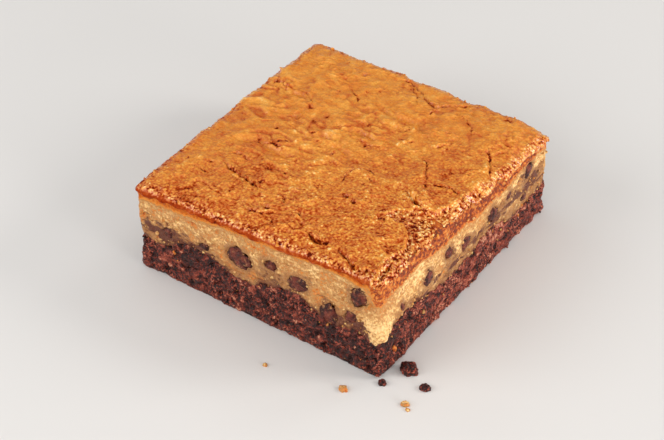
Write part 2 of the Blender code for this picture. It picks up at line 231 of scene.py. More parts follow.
@dataclass(frozen=True)
class BarForm:
    """The bar's shape, as the solids have it."""

    half_x: float = 33.3 * MM
    half_y: float = 35.2 * MM
    corner: float = 1.4 * MM
    top_corners: tuple = (24.2 * MM, 28.0 * MM, 23.2 * MM, 22.8 * MM)
    top_swell: float = 0.7 * MM
    top_swell_reach: float = 11.0 * MM
    join_corners: tuple = (9.6 * MM, 10.6 * MM, 7.8 * MM, 9.2 * MM)
    join_front_rise: float = 1.3 * MM
    join_wave_x: float = 1.9 * MM
    join_length_x: float = 25.0 * MM
    join_crest_x: float = 9.0 * MM
    join_drift: float = 0.3
    join_wave_y: float = 1.1 * MM
    join_length_y: float = 32.0 * MM
    join_crest_y: float = 9.0 * MM
    join_tongue: float = 3.2 * MM
    join_tongue_reach: float = 4.6 * MM
    join_core: float = 9.4 * MM
    join_core_reach: tuple = (4.0 * MM, 10.0 * MM)
    wrinkles: tuple = ((0.30 * MM, 7.0 * MM), (0.16 * MM, 3.0 * MM))
    wrinkle_shift: float = 3.0
    sag: float = 0.9 * MM
    sag_reach: float = 4.8 * MM
    flake_centre: tuple = (31.0 * MM, -13.5 * MM)
    flake_half: tuple = (4.6 * MM, 8.0 * MM)
    browned_front: tuple = ((-33, 4.4), (-23, 3.9), (-5, 3.1), (6, 2.9), (22, 2.8), (33, 3.6))
    faded_front: tuple = ((-33, 7.0), (-23, 5.9), (-5, 4.7), (6, 4.6), (22, 5.4), (33, 8.0))
    browned_right: tuple = (
        (-34, 7.4), (-29, 6.2), (-20, 4.6), (-8, 6.0), (4, 6.2), (16, 5.4), (24, 3.8), (35, 3.2),
    )

    def plan(self, u: np.ndarray, v: np.ndarray, offset: np.ndarray | float) -> tuple:
        """Plan position of a square's point, its corners rounded, moved outwards by offset."""
        flat = np.array([1.0 - self.corner / self.half_x, 1.0 - self.corner / self.half_y])
        across, along = np.abs(u), np.abs(v)
        p = np.clip((across - flat[0]) / (1.0 - flat[0]), 0.0, 1.0)
        q = np.clip((along - flat[1]) / (1.0 - flat[1]), 0.0, 1.0)
        turning = (across > flat[0]) & (along > flat[1])
        bent_x = flat[0] + (1.0 - flat[0]) * p * np.sqrt(1.0 - 0.5 * q * q)
        bent_y = flat[1] + (1.0 - flat[1]) * q * np.sqrt(1.0 - 0.5 * p * p)
        x = np.copysign(np.where(turning, bent_x, across), u) * (self.half_x + offset)
        y = np.copysign(np.where(turning, bent_y, along), v) * (self.half_y + offset)
        return x, y

    def loop(self, step: float) -> tuple[np.ndarray, np.ndarray]:
        """The square's rim in steps of about a given length, anticlockwise from its front left."""
        across = round(2.0 * self.half_x / step)
        along = round(2.0 * self.half_y / step)
        run_x = np.linspace(-1.0, 1.0, across, endpoint=False)
        run_y = np.linspace(-1.0, 1.0, along, endpoint=False)
        u = np.concatenate([run_x, np.ones(along), -run_x, -np.ones(along)])
        v = np.concatenate([-np.ones(across), run_y, np.ones(across), -run_y])
        return u, v

    def over_corners(self, x: np.ndarray, y: np.ndarray, corners: tuple) -> np.ndarray:
        """A sheet stretched between values at the front left, front right, back right, back left."""
        u = 0.5 + 0.5 * x / self.half_x
        v = 0.5 + 0.5 * y / self.half_y
        front = corners[0] + (corners[1] - corners[0]) * u
        back = corners[3] + (corners[2] - corners[3]) * u
        return front + (back - front) * v

    def inside(self, x: np.ndarray, y: np.ndarray) -> np.ndarray:
        """How far a plan position lies inside the bar's sides."""
        return np.minimum(self.half_x - np.abs(x), self.half_y - np.abs(y))

    def join(self, x: np.ndarray, y: np.ndarray) -> np.ndarray:
        """Height at which brownie and cookie meet."""
        height = self.over_corners(x, y, self.join_corners)
        height = height + self.join_front_rise * smooth(-y / self.half_y, 0.6, 1.0)
        turn = (x - self.join_crest_x + self.join_drift * (y + self.half_y)) / self.join_length_x
        height += self.join_wave_x * (np.abs(y) / self.half_y) ** 4 * np.cos(2.0 * math.pi * turn)
        turn = (y - self.join_crest_y) / self.join_length_y
        height += self.join_wave_y * (np.abs(x) / self.half_x) ** 4 * np.cos(2.0 * math.pi * turn)
        from_corner = np.hypot(x - self.half_x, y + self.half_y) / self.join_tongue_reach
        height -= self.join_tongue * np.exp(-(from_corner**2))
        level = smooth(self.inside(x, y), *self.join_core_reach)
        return height + (self.join_core - height) * level

    def top(self, x: np.ndarray, y: np.ndarray) -> np.ndarray:
        """Height of the baked top, before its flaked patch and its fine relief."""
        height = self.over_corners(x, y, self.top_corners)
        height = height + self.top_swell * smooth(self.inside(x, y), 0.0, self.top_swell_reach)
        height -= self.sag * np.exp(-((np.hypot(x - self.half_x, y - self.half_y) / self.sag_reach) ** 2))
        flat = np.stack([x, y, np.zeros_like(x)], axis=-1).reshape(-1, 3)
        return height + solid_relief(flat, self.wrinkles, self.wrinkle_shift).reshape(x.shape)

    def flaked_share(self, x: np.ndarray, y: np.ndarray) -> np.ndarray:
        """How much of the flaked patch's full depth a plan position has, from 0 to 1."""
        across = (x - self.flake_centre[0]) / self.flake_half[0]
        along = (y - self.flake_centre[1]) / self.flake_half[1]
        return smooth(1.3 - np.hypot(across, along), 0.0, 0.5)

    def on_right(self, x: np.ndarray) -> np.ndarray:
        """How much a place belongs to the right cut face, from 0 to 1."""
        return smooth(x, self.half_x - 3.0 * MM, self.half_x - 1.4 * MM)

    def browned(self, x: np.ndarray, y: np.ndarray) -> tuple[np.ndarray, np.ndarray]:
        """How far below the top the browned edge and the fading one reach at a cut face."""
        deep, faded, deep_right = [
            np.interp(at, *(np.array(table).T * MM))
            for at, table in ((x, self.browned_front), (x, self.faded_front), (y, self.browned_right))
        ]
        right = self.on_right(x)
        return deep + (deep_right - deep) * right, faded + (deep_right + 2.0 * MM - faded) * right


@dataclass(frozen=True)
class ChipSpot:
    """Where a sliced chip shows in a cut face, measured from its node."""

    name: str
    side: Side
    middle: np.ndarray
    half_long: float
    half_short: float
    long_axis: np.ndarray
    short_axis: np.ndarray
    depth: float

    @classmethod
    def measure(cls, name: str, node: bpy.types.Object) -> "ChipSpot":
        """Fits an ellipse to the flat of a chip's node.

        Args:
            name: The node's name, whose second word is its side.
            node: The node's object.

        Returns:
            The chip's place and size.
        """
        side = Side[name.split("_")[1].upper()]
        corners = np.array([vert.co for vert in node.data.vertices])
        reach = corners @ side.outward
        rim = np.unique(np.round(corners[reach > reach.max() - 0.02 * MM], 7), axis=0)
        middle = rim.mean(axis=0)
        flat = np.stack([(rim - middle) @ side.along, rim[:, 2] - middle[2]], axis=1)
        spread, axes = np.linalg.eigh(flat.T @ flat / len(flat))
        half = np.sqrt(2.0 * spread)
        world = [axis[0] * side.along + np.array([0.0, 0.0, axis[1]]) for axis in axes.T]
        return cls(name, side, middle, half[1], half[0], world[1], world[0], float(np.ptp(reach)))

    def clearance(self, points: np.ndarray) -> np.ndarray:
        """Distance of places on the chip's own cut face from its edge, negative inside it."""
        offset = points - self.middle
        ratio = np.hypot(offset @ self.long_axis / self.half_long, offset @ self.short_axis / self.half_short)
        gap = (ratio - 1.0) * math.sqrt(self.half_long * self.half_short)
        return np.where(np.abs(offset @ self.side.outward) < 2.5 * MM, gap, 1.0)


def nearest_chip(points: np.ndarray, spots: list[ChipSpot]) -> np.ndarray:
    """Distance of each place from the edge of the chip that is nearest to it."""
    return np.min([spot.clearance(points) for spot in spots], axis=0)


def put(mesh: bpy.types.Mesh, name: str, values: np.ndarray) -> None:
    """Stores one number a vertex for a material to read."""
    mesh.attributes.new(name, "FLOAT", "POINT").data.foreach_set("value", values.astype(np.float32))


def new_object(name: str, mesh: bpy.types.Mesh, material: bpy.types.Material) -> bpy.types.Object:
    """Links an object that shows a mesh in a material, with smooth shading."""
    mesh.shade_smooth()
    mesh.materials.append(material)
    obj = bpy.data.objects.new(name, mesh)
    bpy.context.scene.collection.objects.link(obj)
    return obj


def ring_mesh(name: str, rings: np.ndarray) -> bpy.types.Mesh:
    """A closed skin over rings of points.

    Args:
        name: The mesh's name.
        rings: Points, shape (rows, columns, 3), from the bottom up and anticlockwise.

    Returns:
        The mesh, with one face over each end.
    """
    rows, columns = rings.shape[:2]
    index = np.arange(rows * columns).reshape(rows, columns)
    after = np.roll(index, -1, axis=1)
    quads = np.stack([index[:-1], after[:-1], after[1:], index[1:]], axis=-1).reshape(-1, 4)
    faces = quads.tolist() + [index[0, ::-1].tolist(), index[-1].tolist()]
    mesh = bpy.data.meshes.new(name)
    mesh.from_pydata(rings.reshape(-1, 3).tolist(), [], faces)
    return mesh


def vertex_places(mesh: bpy.types.Mesh) -> np.ndarray:
    """The mesh's vertices, shape (n, 3)."""
    places = np.empty(3 * len(mesh.vertices))
    mesh.vertices.foreach_get("co", places)
    return places.reshape(-1, 3)


def push_out(mesh: bpy.types.Mesh, heights: np.ndarray) -> None:
    """Moves each vertex along its normal by its height."""
    normals = np.empty(3 * len(mesh.vertices))
    mesh.vertex_normals.foreach_get("vector", normals)
    places = vertex_places(mesh) + normals.reshape(-1, 3) * heights[:, None]
    mesh.vertices.foreach_set("co", places.ravel())
    mesh.update()


def keep_above_ground(mesh: bpy.types.Mesh) -> None:
    """Lifts every vertex that has sunk below the ground onto it."""
    places = vertex_places(mesh)
    places[:, 2] = np.maximum(places[:, 2], 0.0)
    mesh.vertices.foreach_set("co", places.ravel())
    mesh.update()


class Graph:
    """Short calls that build a material's nodes."""

    def __init__(self, name: str) -> None:
        """Starts a material with a Principled shader."""
        self.material = bpy.data.materials.new(name)
        self.material.use_nodes = True
        self.tree = self.material.node_tree
        self.shader = self.tree.nodes["Principled BSDF"]
        self.place = self.node("ShaderNodeTexCoord").outputs["Object"]

    def node(self, kind: str, **settings: object) -> bpy.types.Node:
        """Adds a node and sets its properties."""
        node = self.tree.nodes.new(kind)
        for name, value in settings.items():
            setattr(node, name, value)
        return node

    def feed(self, socket: bpy.types.NodeSocket, value: object) -> None:
        """Links an output to a socket, or sets the socket's own value."""
        if isinstance(value, bpy.types.NodeSocket):
            self.tree.links.new(value, socket)
        else:
            socket.default_value = value

    def attribute(self, name: str) -> bpy.types.NodeSocket:
        """A number stored on the mesh."""
        return self.node("ShaderNodeAttribute", attribute_name=name).outputs["Fac"]

    def math(self, operation: str, a: object, b: object = 0.0, c: object = 0.0) -> bpy.types.NodeSocket:
        """A sum, product or other operation on up to three numbers."""
        node = self.node("ShaderNodeMath", operation=operation)
        for socket, value in zip(node.inputs, (a, b, c)):
            self.feed(socket, value)
        return node.outputs[0]

    def scaled(self, value: object, factor: object, plus: object) -> bpy.types.NodeSocket:
        """A number times a factor, plus another number."""
        return self.math("MULTIPLY_ADD", value, factor, plus)

    def swing(self, base: object, pattern: object, weight: object) -> bpy.types.NodeSocket:
        """Moves a number up and down by a pattern around 0.5, times a weight."""
        return self.scaled(self.math("SUBTRACT", pattern, 0.5), weight, base)

    def both(self, a: object, b: object) -> bpy.types.NodeSocket:
        """The product of two shares."""
        return self.math("MULTIPLY", a, b)

    def noise(self, size: float, detail: float = 3.0, roughness: float = 0.55) -> bpy.types.NodeSocket:
        """Cloudy noise whose blotches are about a size across."""
        node = self.node("ShaderNodeTexNoise")
        self.feed(node.inputs["Vector"], self.place)
        self.feed(node.inputs["Scale"], 1.0 / size)
        self.feed(node.inputs["Detail"], detail)
        self.feed(node.inputs["Roughness"], roughness)
        return node.outputs["Fac"]

    def spots(self, size: float, feature: str = "F1") -> bpy.types.NodeSocket:
        """Distance from the middles of random spots about a size apart."""
        node = self.node("ShaderNodeTexVoronoi", feature=feature)
        self.feed(node.inputs["Vector"], self.place)
        self.feed(node.inputs["Scale"], 1.0 / size)
        return node.outputs["Distance"]

    def stretch(self, value: object, low: float, high: float, start: float = 0.0, end: float = 1.0) -> object:
        """Maps low to start and high to end, and holds the value between them."""
        node = self.node("ShaderNodeMapRange", interpolation_type="SMOOTHSTEP")
        for socket, number in zip(node.inputs, (value, low, high, start, end)):
            self.feed(socket, number)
        return node.outputs["Result"]

    def ramp(self, value: object, stops: tuple) -> bpy.types.NodeSocket:
        """Turns a number into a colour.

        Args:
            value: The number.
            stops: Pairs of (number, linear colour), in order.

        Returns:
            The colour.
        """
        node = self.node("ShaderNodeValToRGB")
        self.feed(node.inputs["Fac"], value)
        band = node.color_ramp.elements
        while len(band) < len(stops):
            band.new(0.5)
        for element, (position, colour) in zip(band, stops):
            element.position = position
            element.color = (*colour, 1.0)
        return node.outputs["Color"]

    def mix(self, share: object, a: object, b: object) -> bpy.types.NodeSocket:
        """Blends colour a towards colour b."""
        node = self.node("ShaderNodeMix", data_type="RGBA")
        for socket, value in ((node.inputs[0], share), (node.inputs[6], a), (node.inputs[7], b)):
            self.feed(socket, value if isinstance(value, (bpy.types.NodeSocket, float)) else (*value, 1.0))
        return node.outputs[2]

    def bump(self, height: object, depth: float, below: object = None) -> bpy.types.NodeSocket:
        """A fine relief of a depth, on top of another one if given."""
        node = self.node("ShaderNodeBump")
        self.feed(node.inputs["Strength"], 1.0)
        self.feed(node.inputs["Distance"], depth)
        self.feed(node.inputs["Height"], height)
        if below is not None:
            self.feed(node.inputs["Normal"], below)
        return node.outputs["Normal"]

    def finish(self, **inputs: object) -> bpy.types.Material:
        """Feeds the shader's sockets, named with _ for spaces, and gives the material."""
        for name, value in inputs.items():
            self.feed(self.shader.inputs[name.replace("_", " ").title().replace("Ior", "IOR")], value)
        return self.material


@dataclass(frozen=True)
class CrustFinish:
    """Golden brown baked crust, from pale gold to the near black of its deepest cracks; that near black is
    painted shade, and its pale specks are painted glints.
    """

    shades: tuple = (
        (0.00, (0.98, 0.66, 0.26)),
        (0.20, (0.84, 0.35, 0.042)),
        (0.42, (0.68, 0.208, 0.012)),
        (0.60, (0.54, 0.104, 0.006)),
        (0.78, (0.34, 0.038, 0.003)),
        (1.00, (0.10, 0.008, 0.002)),
    )
    # The colour of the pale specks that are painted glints: painted highlights on the crust.
    painted_glint_colour: tuple = (1.0, 0.66, 0.47)
    cloud: float = 10.0 * MM
    blotch: float = 2.6 * MM
    blotch_depth: float = 0.35 * MM
    sand: float = 0.62 * MM
    bead: float = 0.66 * MM
    bead_depth: float = 0.13 * MM
    glint: float = 1.0 * MM

    def tone(self, graph: Graph, blotches: object, sand: object, beads: object) -> bpy.types.NodeSocket:
        """How brown each spot is: its place's stored tone with painted light, then clouds, blotches, grit and
        the cracks' painted shade.

        Args:
            graph: The material's nodes.
            blotches: Noise of a few millimetres.
            sand: Fine noise.
            beads: Distance from the middles of fine beads, from 0 to 1.

        Returns:
            The number for the ramp of shades.
        """
        grit = graph.scaled(beads, 0.50, graph.both(graph.stretch(sand, 0.36, 0.64), 0.50))
        contrast = graph.scaled(
            graph.attribute("sandy"), 0.46, graph.scaled(graph.attribute("grainy"), 0.50, 0.12)
        )
        tone = graph.swing(graph.attribute("browning"), graph.noise(self.cloud, 2.0), 0.28)
        tone = graph.swing(tone, blotches, 0.45)
        tone = graph.swing(tone, grit, contrast)
        # Cracks, pits and hairlines are painted darker: painted shade inside them.
        crack_shade = graph.swing(graph.attribute("crack"), sand, 0.7)
        tone = graph.scaled(graph.stretch(crack_shade, 0.66, 0.88), 0.38, tone)
        return graph.scaled(graph.stretch(crack_shade, 0.30, 0.72), 0.10, tone)

    def material(self) -> bpy.types.Material:
        """Builds the crust's material."""
        graph = Graph("crust")
        grainy = graph.attribute("grainy")
        blotches = graph.noise(self.blotch, 4.0, 0.6)
        sand = graph.noise(self.sand, 3.0, 0.6)
        beads = graph.stretch(graph.spots(self.bead), 0.12, 0.62)
        tone = self.tone(graph, blotches, sand, beads)
        relief = graph.bump(blotches, self.blotch_depth)
        relief = graph.bump(graph.math("SUBTRACT", sand, graph.both(beads, 0.5)), self.bead_depth, relief)
        raised = graph.math("SUBTRACT", 1.0, graph.stretch(tone, 0.50, 0.78))
        # Pale specks on the lighter beads, where the crust is grainy or sandy, are painted glints: painted
        # highlights mixed into the base colour.
        glints = graph.stretch(graph.spots(self.glint), 0.10, 0.25, 1.0, 0.0)
        glint_share = graph.stretch(graph.scaled(graph.attribute("sandy"), 0.40, grainy), 0.25, 0.85, 0.0, 0.66)
        glints = graph.both(
            graph.both(glints, glint_share), graph.both(raised, graph.stretch(blotches, 0.44, 0.56))
        )
        return graph.finish(
            base_color=graph.mix(glints, graph.ramp(tone, self.shades), self.painted_glint_colour),
            roughness=graph.scaled(grainy, -0.08, graph.stretch(blotches, 0.3, 0.7, 0.48, 0.32)),
            normal=relief,
            specular_ior_level=graph.scaled(raised, 0.40, 0.03),
            coat_weight=graph.both(raised, graph.scaled(grainy, 0.75, 0.12)),
            coat_roughness=0.16,
            subsurface_weight=0.06,
            subsurface_radius=(1.0, 0.45, 0.2),
            subsurface_scale=0.5 * MM,
        )


@dataclass(frozen=True)
class CookieFinish:
    """Pale dough that browns towards the crust and is smeared with chocolate by the knife."""

    dough: tuple = (
        (0.00, (0.94, 0.62, 0.27)),
        (0.13, (0.76, 0.42, 0.150)),
        (0.30, (0.56, 0.278, 0.092)),
        (0.44, (0.49, 0.218, 0.066)),
        (0.58, (0.72, 0.250, 0.042)),
        (0.72, (0.56, 0.130, 0.013)),
        (0.87, (0.36, 0.058, 0.007)),
        (1.00, (0.18, 0.028, 0.007)),
    )
    smear: tuple = (0.30, 0.118, 0.036)
    stale: tuple = (0.40, 0.182, 0.062)
    cocoa: tuple = (0.13, 0.034, 0.016)
    cloud: float = 4.0 * MM
    blotch: float = 1.5 * MM
    blotch_depth: float = 0.30 * MM
    crumb: float = 0.60 * MM
    crumb_depth: float = 0.42 * MM

    def material(self) -> bpy.types.Material:
        """Builds the cookie crumb's material."""
        graph = Graph("cookie")
        glazed = graph.attribute("glazed")
        clouds = graph.noise(self.cloud, 3.0)
        blotches = graph.noise(self.blotch, 3.0, 0.6)
        crumb = graph.noise(self.crumb, 3.0, 0.6)
        grit = graph.stretch(crumb, 0.36, 0.64)
        tone = graph.swing(graph.attribute("baked"), clouds, 0.30)
        tone = graph.swing(tone, blotches, 0.30)
        tone = graph.swing(tone, grit, graph.scaled(glazed, -0.22, 0.34))
        relief = graph.bump(crumb, self.crumb_depth, graph.bump(blotches, self.blotch_depth))
        stain = graph.swing(graph.attribute("smear"), blotches, 1.1)
        stained = graph.stretch(graph.swing(stain, crumb, 0.9), 0.05, 0.85, 0.0, 0.92)
        brown = graph.mix(graph.stretch(graph.math("ADD", clouds, grit), 0.75, 1.25), self.smear, self.stale)
        colour = graph.mix(stained, graph.ramp(tone, self.dough), brown)
        fudge = graph.stretch(graph.swing(graph.attribute("cocoa"), crumb, 1.4), 0.20, 0.95)
        return graph.finish(
            base_color=graph.mix(fudge, colour, self.cocoa),
            roughness=graph.scaled(stained, -0.12, graph.stretch(crumb, 0.3, 0.7, 0.62, 0.42)),
            normal=relief,
            specular_ior_level=graph.scaled(glazed, -0.24, 0.30),
            subsurface_weight=0.15,
            subsurface_radius=(1.0, 0.55, 0.25),
            subsurface_scale=0.9 * MM,
        )


@dataclass(frozen=True)
class BrownieFinish:
    """Moist dark brownie crumb with redder lumps; its near black hollows are painted shade and its pale
    specks painted glints.
    """

    shades: tuple = (
        (0.00, (0.016, 0.0026, 0.0018)),
        (0.28, (0.085, 0.0100, 0.0048)),
        (0.50, (0.235, 0.0350, 0.0170)),
        (0.74, (0.420, 0.1000, 0.0520)),
        (1.00, (0.660, 0.2900, 0.1700)),
    )
    ruddy: tuple = (0.40, 0.040, 0.020)
    # The colour of the pale specks: painted glints, painted highlights on the crumb.
    pale: tuple = (0.62, 0.30, 0.19)
    blotch: float = 1.6 * MM
    blotch_depth: float = 0.30 * MM
    crumb: float = 0.46 * MM
    crumb_depth: float = 0.55 * MM
    ruddy_speck: float = 0.95 * MM
    pale_speck: float = 1.25 * MM
    sheen: float = 0.9 * MM

    def material(self) -> bpy.types.Material:
        """Builds the brownie's material."""
        graph = Graph("brownie")
        fudgy = graph.attribute("fudgy")
        blotches = graph.noise(self.blotch, 3.0)
        crumb = graph.noise(self.crumb, 3.0, 0.62)
        tone = graph.swing(graph.attribute("lit"), blotches, 0.60)
        tone = graph.swing(tone, graph.stretch(crumb, 0.36, 0.64), graph.scaled(fudgy, -0.40, 0.72))
        crisp = graph.scaled(fudgy, -0.7, 1.0)
        ruddy = graph.both(graph.stretch(graph.spots(self.ruddy_speck), 0.10, 0.28, 0.75, 0.0), crisp)
        colour = graph.mix(ruddy, graph.ramp(tone, self.shades), self.ruddy)
        # Pale specks mixed into the colour are painted glints.
        pale = graph.both(graph.stretch(graph.spots(self.pale_speck), 0.08, 0.20, 0.55, 0.0), crisp)
        pale = graph.both(pale, graph.stretch(blotches, 0.45, 0.58))
        return graph.finish(
            base_color=graph.mix(pale, colour, self.pale),
            roughness=graph.stretch(graph.noise(self.sheen, 2.0), 0.38, 0.62, 0.24, 0.60),
            normal=graph.bump(crumb, self.crumb_depth, graph.bump(blotches, self.blotch_depth)),
            specular_ior_level=0.34,
        )


@dataclass(frozen=True)
class ChocolateFinish:
    """Sliced chocolate: smooth, faintly streaked by the knife, and painted darker at its edge as painted
    shade.
    """

    dark: tuple = (0.030, 0.0042, 0.0030)
    light: tuple = (0.175, 0.0340, 0.0195)
    # The colour of the painted shade at the chip's edge.
    rim: tuple = (0.022, 0.0040, 0.0030)
    dough: tuple = (0.52, 0.24, 0.095)
    cloud: float = 1.5 * MM
    cloud_depth: float = 0.40 * MM
    grain: float = 0.4 * MM
    grain_depth: float = 0.10 * MM
    crumb: float = 0.9 * MM

    def material(self) -> bpy.types.Material:
        """Builds the chocolate's material."""
        graph = Graph("chocolate")
        rim = graph.attribute("rim")
        clouds = graph.noise(self.cloud, 4.0, 0.6)
        grain = graph.noise(self.grain, 3.0)
        flesh = graph.mix(graph.stretch(clouds, 0.38, 0.64), self.dark, self.light)
        # Towards the edge the chocolate is painted darker: painted shade in the gap around the chip.
        colour = graph.mix(graph.stretch(graph.swing(rim, clouds, 0.8), 0.70, 1.20), flesh, self.rim)
        crumbs = graph.stretch(graph.noise(self.crumb, 3.0), 0.56, 0.64)
        crumbs = graph.both(crumbs, graph.stretch(rim, 0.35, 1.0, 0.1, 0.85))
        return graph.finish(
            base_color=graph.mix(crumbs, colour, self.dough),
            roughness=graph.stretch(grain, 0.3, 0.7, 0.22, 0.38),
            normal=graph.bump(grain, self.grain_depth, graph.bump(clouds, self.cloud_depth)),
            specular_ior_level=0.21,
        )


@dataclass(frozen=True)
class FloorFinish:
    """A plain pale floor."""

    colour: tuple = (0.730, 0.712, 0.694)

    def material(self) -> bpy.types.Material:
        """Builds the floor's material."""
        graph = Graph("floor")
        return graph.finish(base_color=(*self.colour, 1.0), roughness=0.55, specular_ior_level=0.25)


def path_reach(x: np.ndarray, y: np.ndarray, turns: np.ndarray) -> tuple[np.ndarray, np.ndarray, np.ndarray]:
    """Measures plan places against a line with turns.

    Args:
        x: Places along X.
        y: Places along Y.
        turns: The line's turning points, shape (n, 2).

    Returns:
        Distance from the line, side of it (1 left, -1 right) and share of its length so far.
    """
    reach = np.full(x.shape, 1.0)
    left = np.zeros(x.shape)
    share = np.zeros(x.shape)
    runs = np.diff(turns, axis=0)
    lengths = np.linalg.norm(runs, axis=1)
    before = np.concatenate([[0.0], np.cumsum(lengths)])
    for start, run, length, at in zip(turns[:-1], runs, lengths, before):
        along = np.clip(((x - start[0]) * run[0] + (y - start[1]) * run[1]) / length**2, 0.0, 1.0)
        gap_x = x - start[0] - along * run[0]
        gap_y = y - start[1] - along * run[1]
        gap = np.hypot(gap_x, gap_y)
        closer = gap < reach
        left = np.where(closer, np.sign(run[0] * gap_y - run[1] * gap_x), left)
        share = np.where(closer, (at + along * length) / before[-1], share)
        reach = np.minimum(reach, gap)
    return reach, left, share


def towards_camera(x: np.ndarray, y: np.ndarray) -> np.ndarray:
    """How far plan places lie towards the photograph's viewpoint."""
    return 0.584 * x - 0.812 * y


def depth_within(x: np.ndarray, y: np.ndarray, corners: tuple) -> np.ndarray:
    """How far plan places lie inside an outline given in millimetres; negative outside it."""
    turns = np.array(corners + corners[:1]) * MM
    reach = path_reach(x, y, turns)[0]
    inside = np.zeros(x.shape, dtype=bool)
    for (start_x, start_y), (end_x, end_y) in zip(turns[:-1], turns[1:]):
        if start_y != end_y:
            crossing = start_x + (y - start_y) * (end_x - start_x) / (end_y - start_y)
            inside ^= ((start_y > y) != (end_y > y)) & (x < crossing)
    return np.where(inside, reach, -reach)


@dataclass(frozen=True)
class Trail:
    """A crack in the crust: where it turns on the top, how wide and deep it opens, and its lips."""

    turns: tuple
    width: float = 0.24 * MM
    depth: float = 0.45 * MM
    lip: float = 0.10 * MM
    raised: float = 0.0

    def profile(self, x: np.ndarray, y: np.ndarray) -> tuple[np.ndarray, np.ndarray]:
        """Measures the crack over the crust.

        Args:
            x: Plan places, bent a little so that the crack is ragged.
            y: The same along Y.

        Returns:
            How much the crack moves the crust up or down, and nearness: 1 on it, 0 well off it.
        """
        reach, left, share = path_reach(x, y, np.array(self.turns) * MM)
        taper = 0.35 + 0.65 * smooth(np.minimum(share, 1.0 - share), 0.0, 0.2)
        groove = np.exp(-((reach / (self.width * taper)) ** 2))
        lips = np.exp(-(((reach - 2.0 * self.width) / (1.2 * self.width)) ** 2))
        curl = self.raised * np.clip(left, 0.0, 1.0) * np.exp(-reach / (4.0 * self.width)) * (1.0 - groove)
        near = np.clip(1.0 - 0.25 * reach / (self.width * taper), 0.0, 1.0)
        return (self.lip * lips - self.depth * groove) * taper + curl * taper, near


CRACKS = (
    Trail(((-21, -18.8), (-16.4, -20), (-12, -21.6), (-7.6, -23.2)), 0.26 * MM, 0.7 * MM, raised=0.8 * MM),
    Trail(((-17, -21.8), (-13.5, -22.4), (-9, -23.6)), 0.20 * MM, 0.35 * MM),
    Trail(((-13.3, -15.4), (-10.4, -15), (-7, -14.5), (-1.5, -15)), 0.17 * MM, 0.30 * MM),
    Trail(
        ((6.7, -10.7), (5.5, -7.8), (5.9, -5.2), (7.5, -3.6), (10.2, -3.6), (13, -3.9)),
        0.22 * MM, 0.45 * MM,
    ),
    Trail(((9.2, -14.3), (10.8, -14.7)), 0.42 * MM, 0.8 * MM, raised=0.4 * MM),
    Trail(((11.7, -15.3), (13.5, -15.9)), 0.42 * MM, 0.8 * MM, raised=0.4 * MM),
    Trail(((10.1, -5.2), (12.0, -6.2)), 0.30 * MM, 0.5 * MM),
    Trail(
        ((-21.1, -15.1), (-18.3, -14.3), (-15.9, -14.5), (-14.6, -14.7)),
        0.24 * MM, 0.45 * MM, raised=0.3 * MM,
    ),
    Trail(((-0.6, -18.6), (0.8, -17.6), (1.9, -17.3)), 0.22 * MM, 0.4 * MM),
    Trail(((15.9, 9), (18.3, 4.9), (20.6, 1.8), (23.1, -3.4)), 0.20 * MM, 0.5 * MM),
    Trail(((20.4, -5.2), (22.4, -6.4), (24.4, -7.6), (26.4, -8.4)), 0.55 * MM, 1.1 * MM, raised=1.1 * MM),
    Trail(((23.9, 0), (26, 1.4), (28.3, 1.6), (30.9, 0.7), (33, -2)), 0.20 * MM, 0.4 * MM, raised=0.4 * MM),
    Trail(((10, -29.4), (12.4, -30), (15, -30.4), (17.8, -30.3)), 0.34 * MM, 0.8 * MM, raised=0.6 * MM),
    Trail(((19.6, -30.3), (22.4, -31.6), (24.6, -33.0), (26.9, -34.4)), 0.36 * MM, 0.9 * MM, raised=0.5 * MM),
    Trail(
        ((26.9, -34.4), (28.9, -33.2), (31.0, -32.6), (31.3, -30.9), (31.9, -28.3)),
        0.50 * MM, 1.1 * MM, raised=0.5 * MM,
    ),
    Trail(((31.3, -31.2), (31.9, -33.2), (32.4, -35.2)), 0.40 * MM, 0.8 * MM),
    Trail(
        ((-7, 32), (-3.4, 32.7), (0.4, 31.2), (3.9, 28), (6.4, 26.2), (8.9, 28.5), (11, 31), (13.5, 33)),
        0.30 * MM, 0.6 * MM, raised=0.4 * MM,
    ),
    Trail(((-3.4, 32.7), (0, 29.3), (3.3, 25)), 0.20 * MM, 0.3 * MM),
    Trail(
        ((-31, 12.5), (-30.3, 15.9), (-27.7, 14), (-24.4, 14.2), (-21, 14.5), (-17.3, 11)),
        0.24 * MM, 0.5 * MM,
    ),
    Trail(((25.4, 20), (28.9, 15), (32, 11)), 0.20 * MM, 0.35 * MM),
    Trail(((-28, -24), (-24, -22.5), (-21.5, -23.4)), 0.18 * MM, 0.3 * MM),
    Trail(((-9, -28.5), (-5.2, -29.6), (-1.8, -29.2), (2.5, -30.6)), 0.20 * MM, 0.35 * MM, raised=0.3 * MM),
    Trail(((-20, -9), (-16.5, -7.2), (-12.5, -7.6)), 0.16 * MM, 0.22 * MM),
    Trail(((13.5, -20.5), (17.5, -19.2), (19.8, -16.6)), 0.16 * MM, 0.25 * MM),
    Trail(((-2, 6), (2.5, 4.4), (6, 5.4)), 0.16 * MM, 0.22 * MM),
    Trail(((-14, 22), (-10, 20), (-8.5, 17.5)), 0.17 * MM, 0.25 * MM),
    Trail(((14, 27), (18, 25.5), (20, 22)), 0.17 * MM, 0.25 * MM),
)

FLAKED = (
    (21.3, -15.7), (21.6, -12.3), (23.5, -10.0), (25.5, -8.2), (28.6, -7.4), (30.2, -4.0), (31.3, 2.0),
    (31.9, 10.0), (36.0, 12.0), (36.0, -38.0), (31.6, -38.0), (30.6, -33.0), (30.2, -30.8), (30.3, -26.5),
    (30.6, -22.8), (29.0, -18.6), (26.0, -16.3), (23.0, -15.7),
)

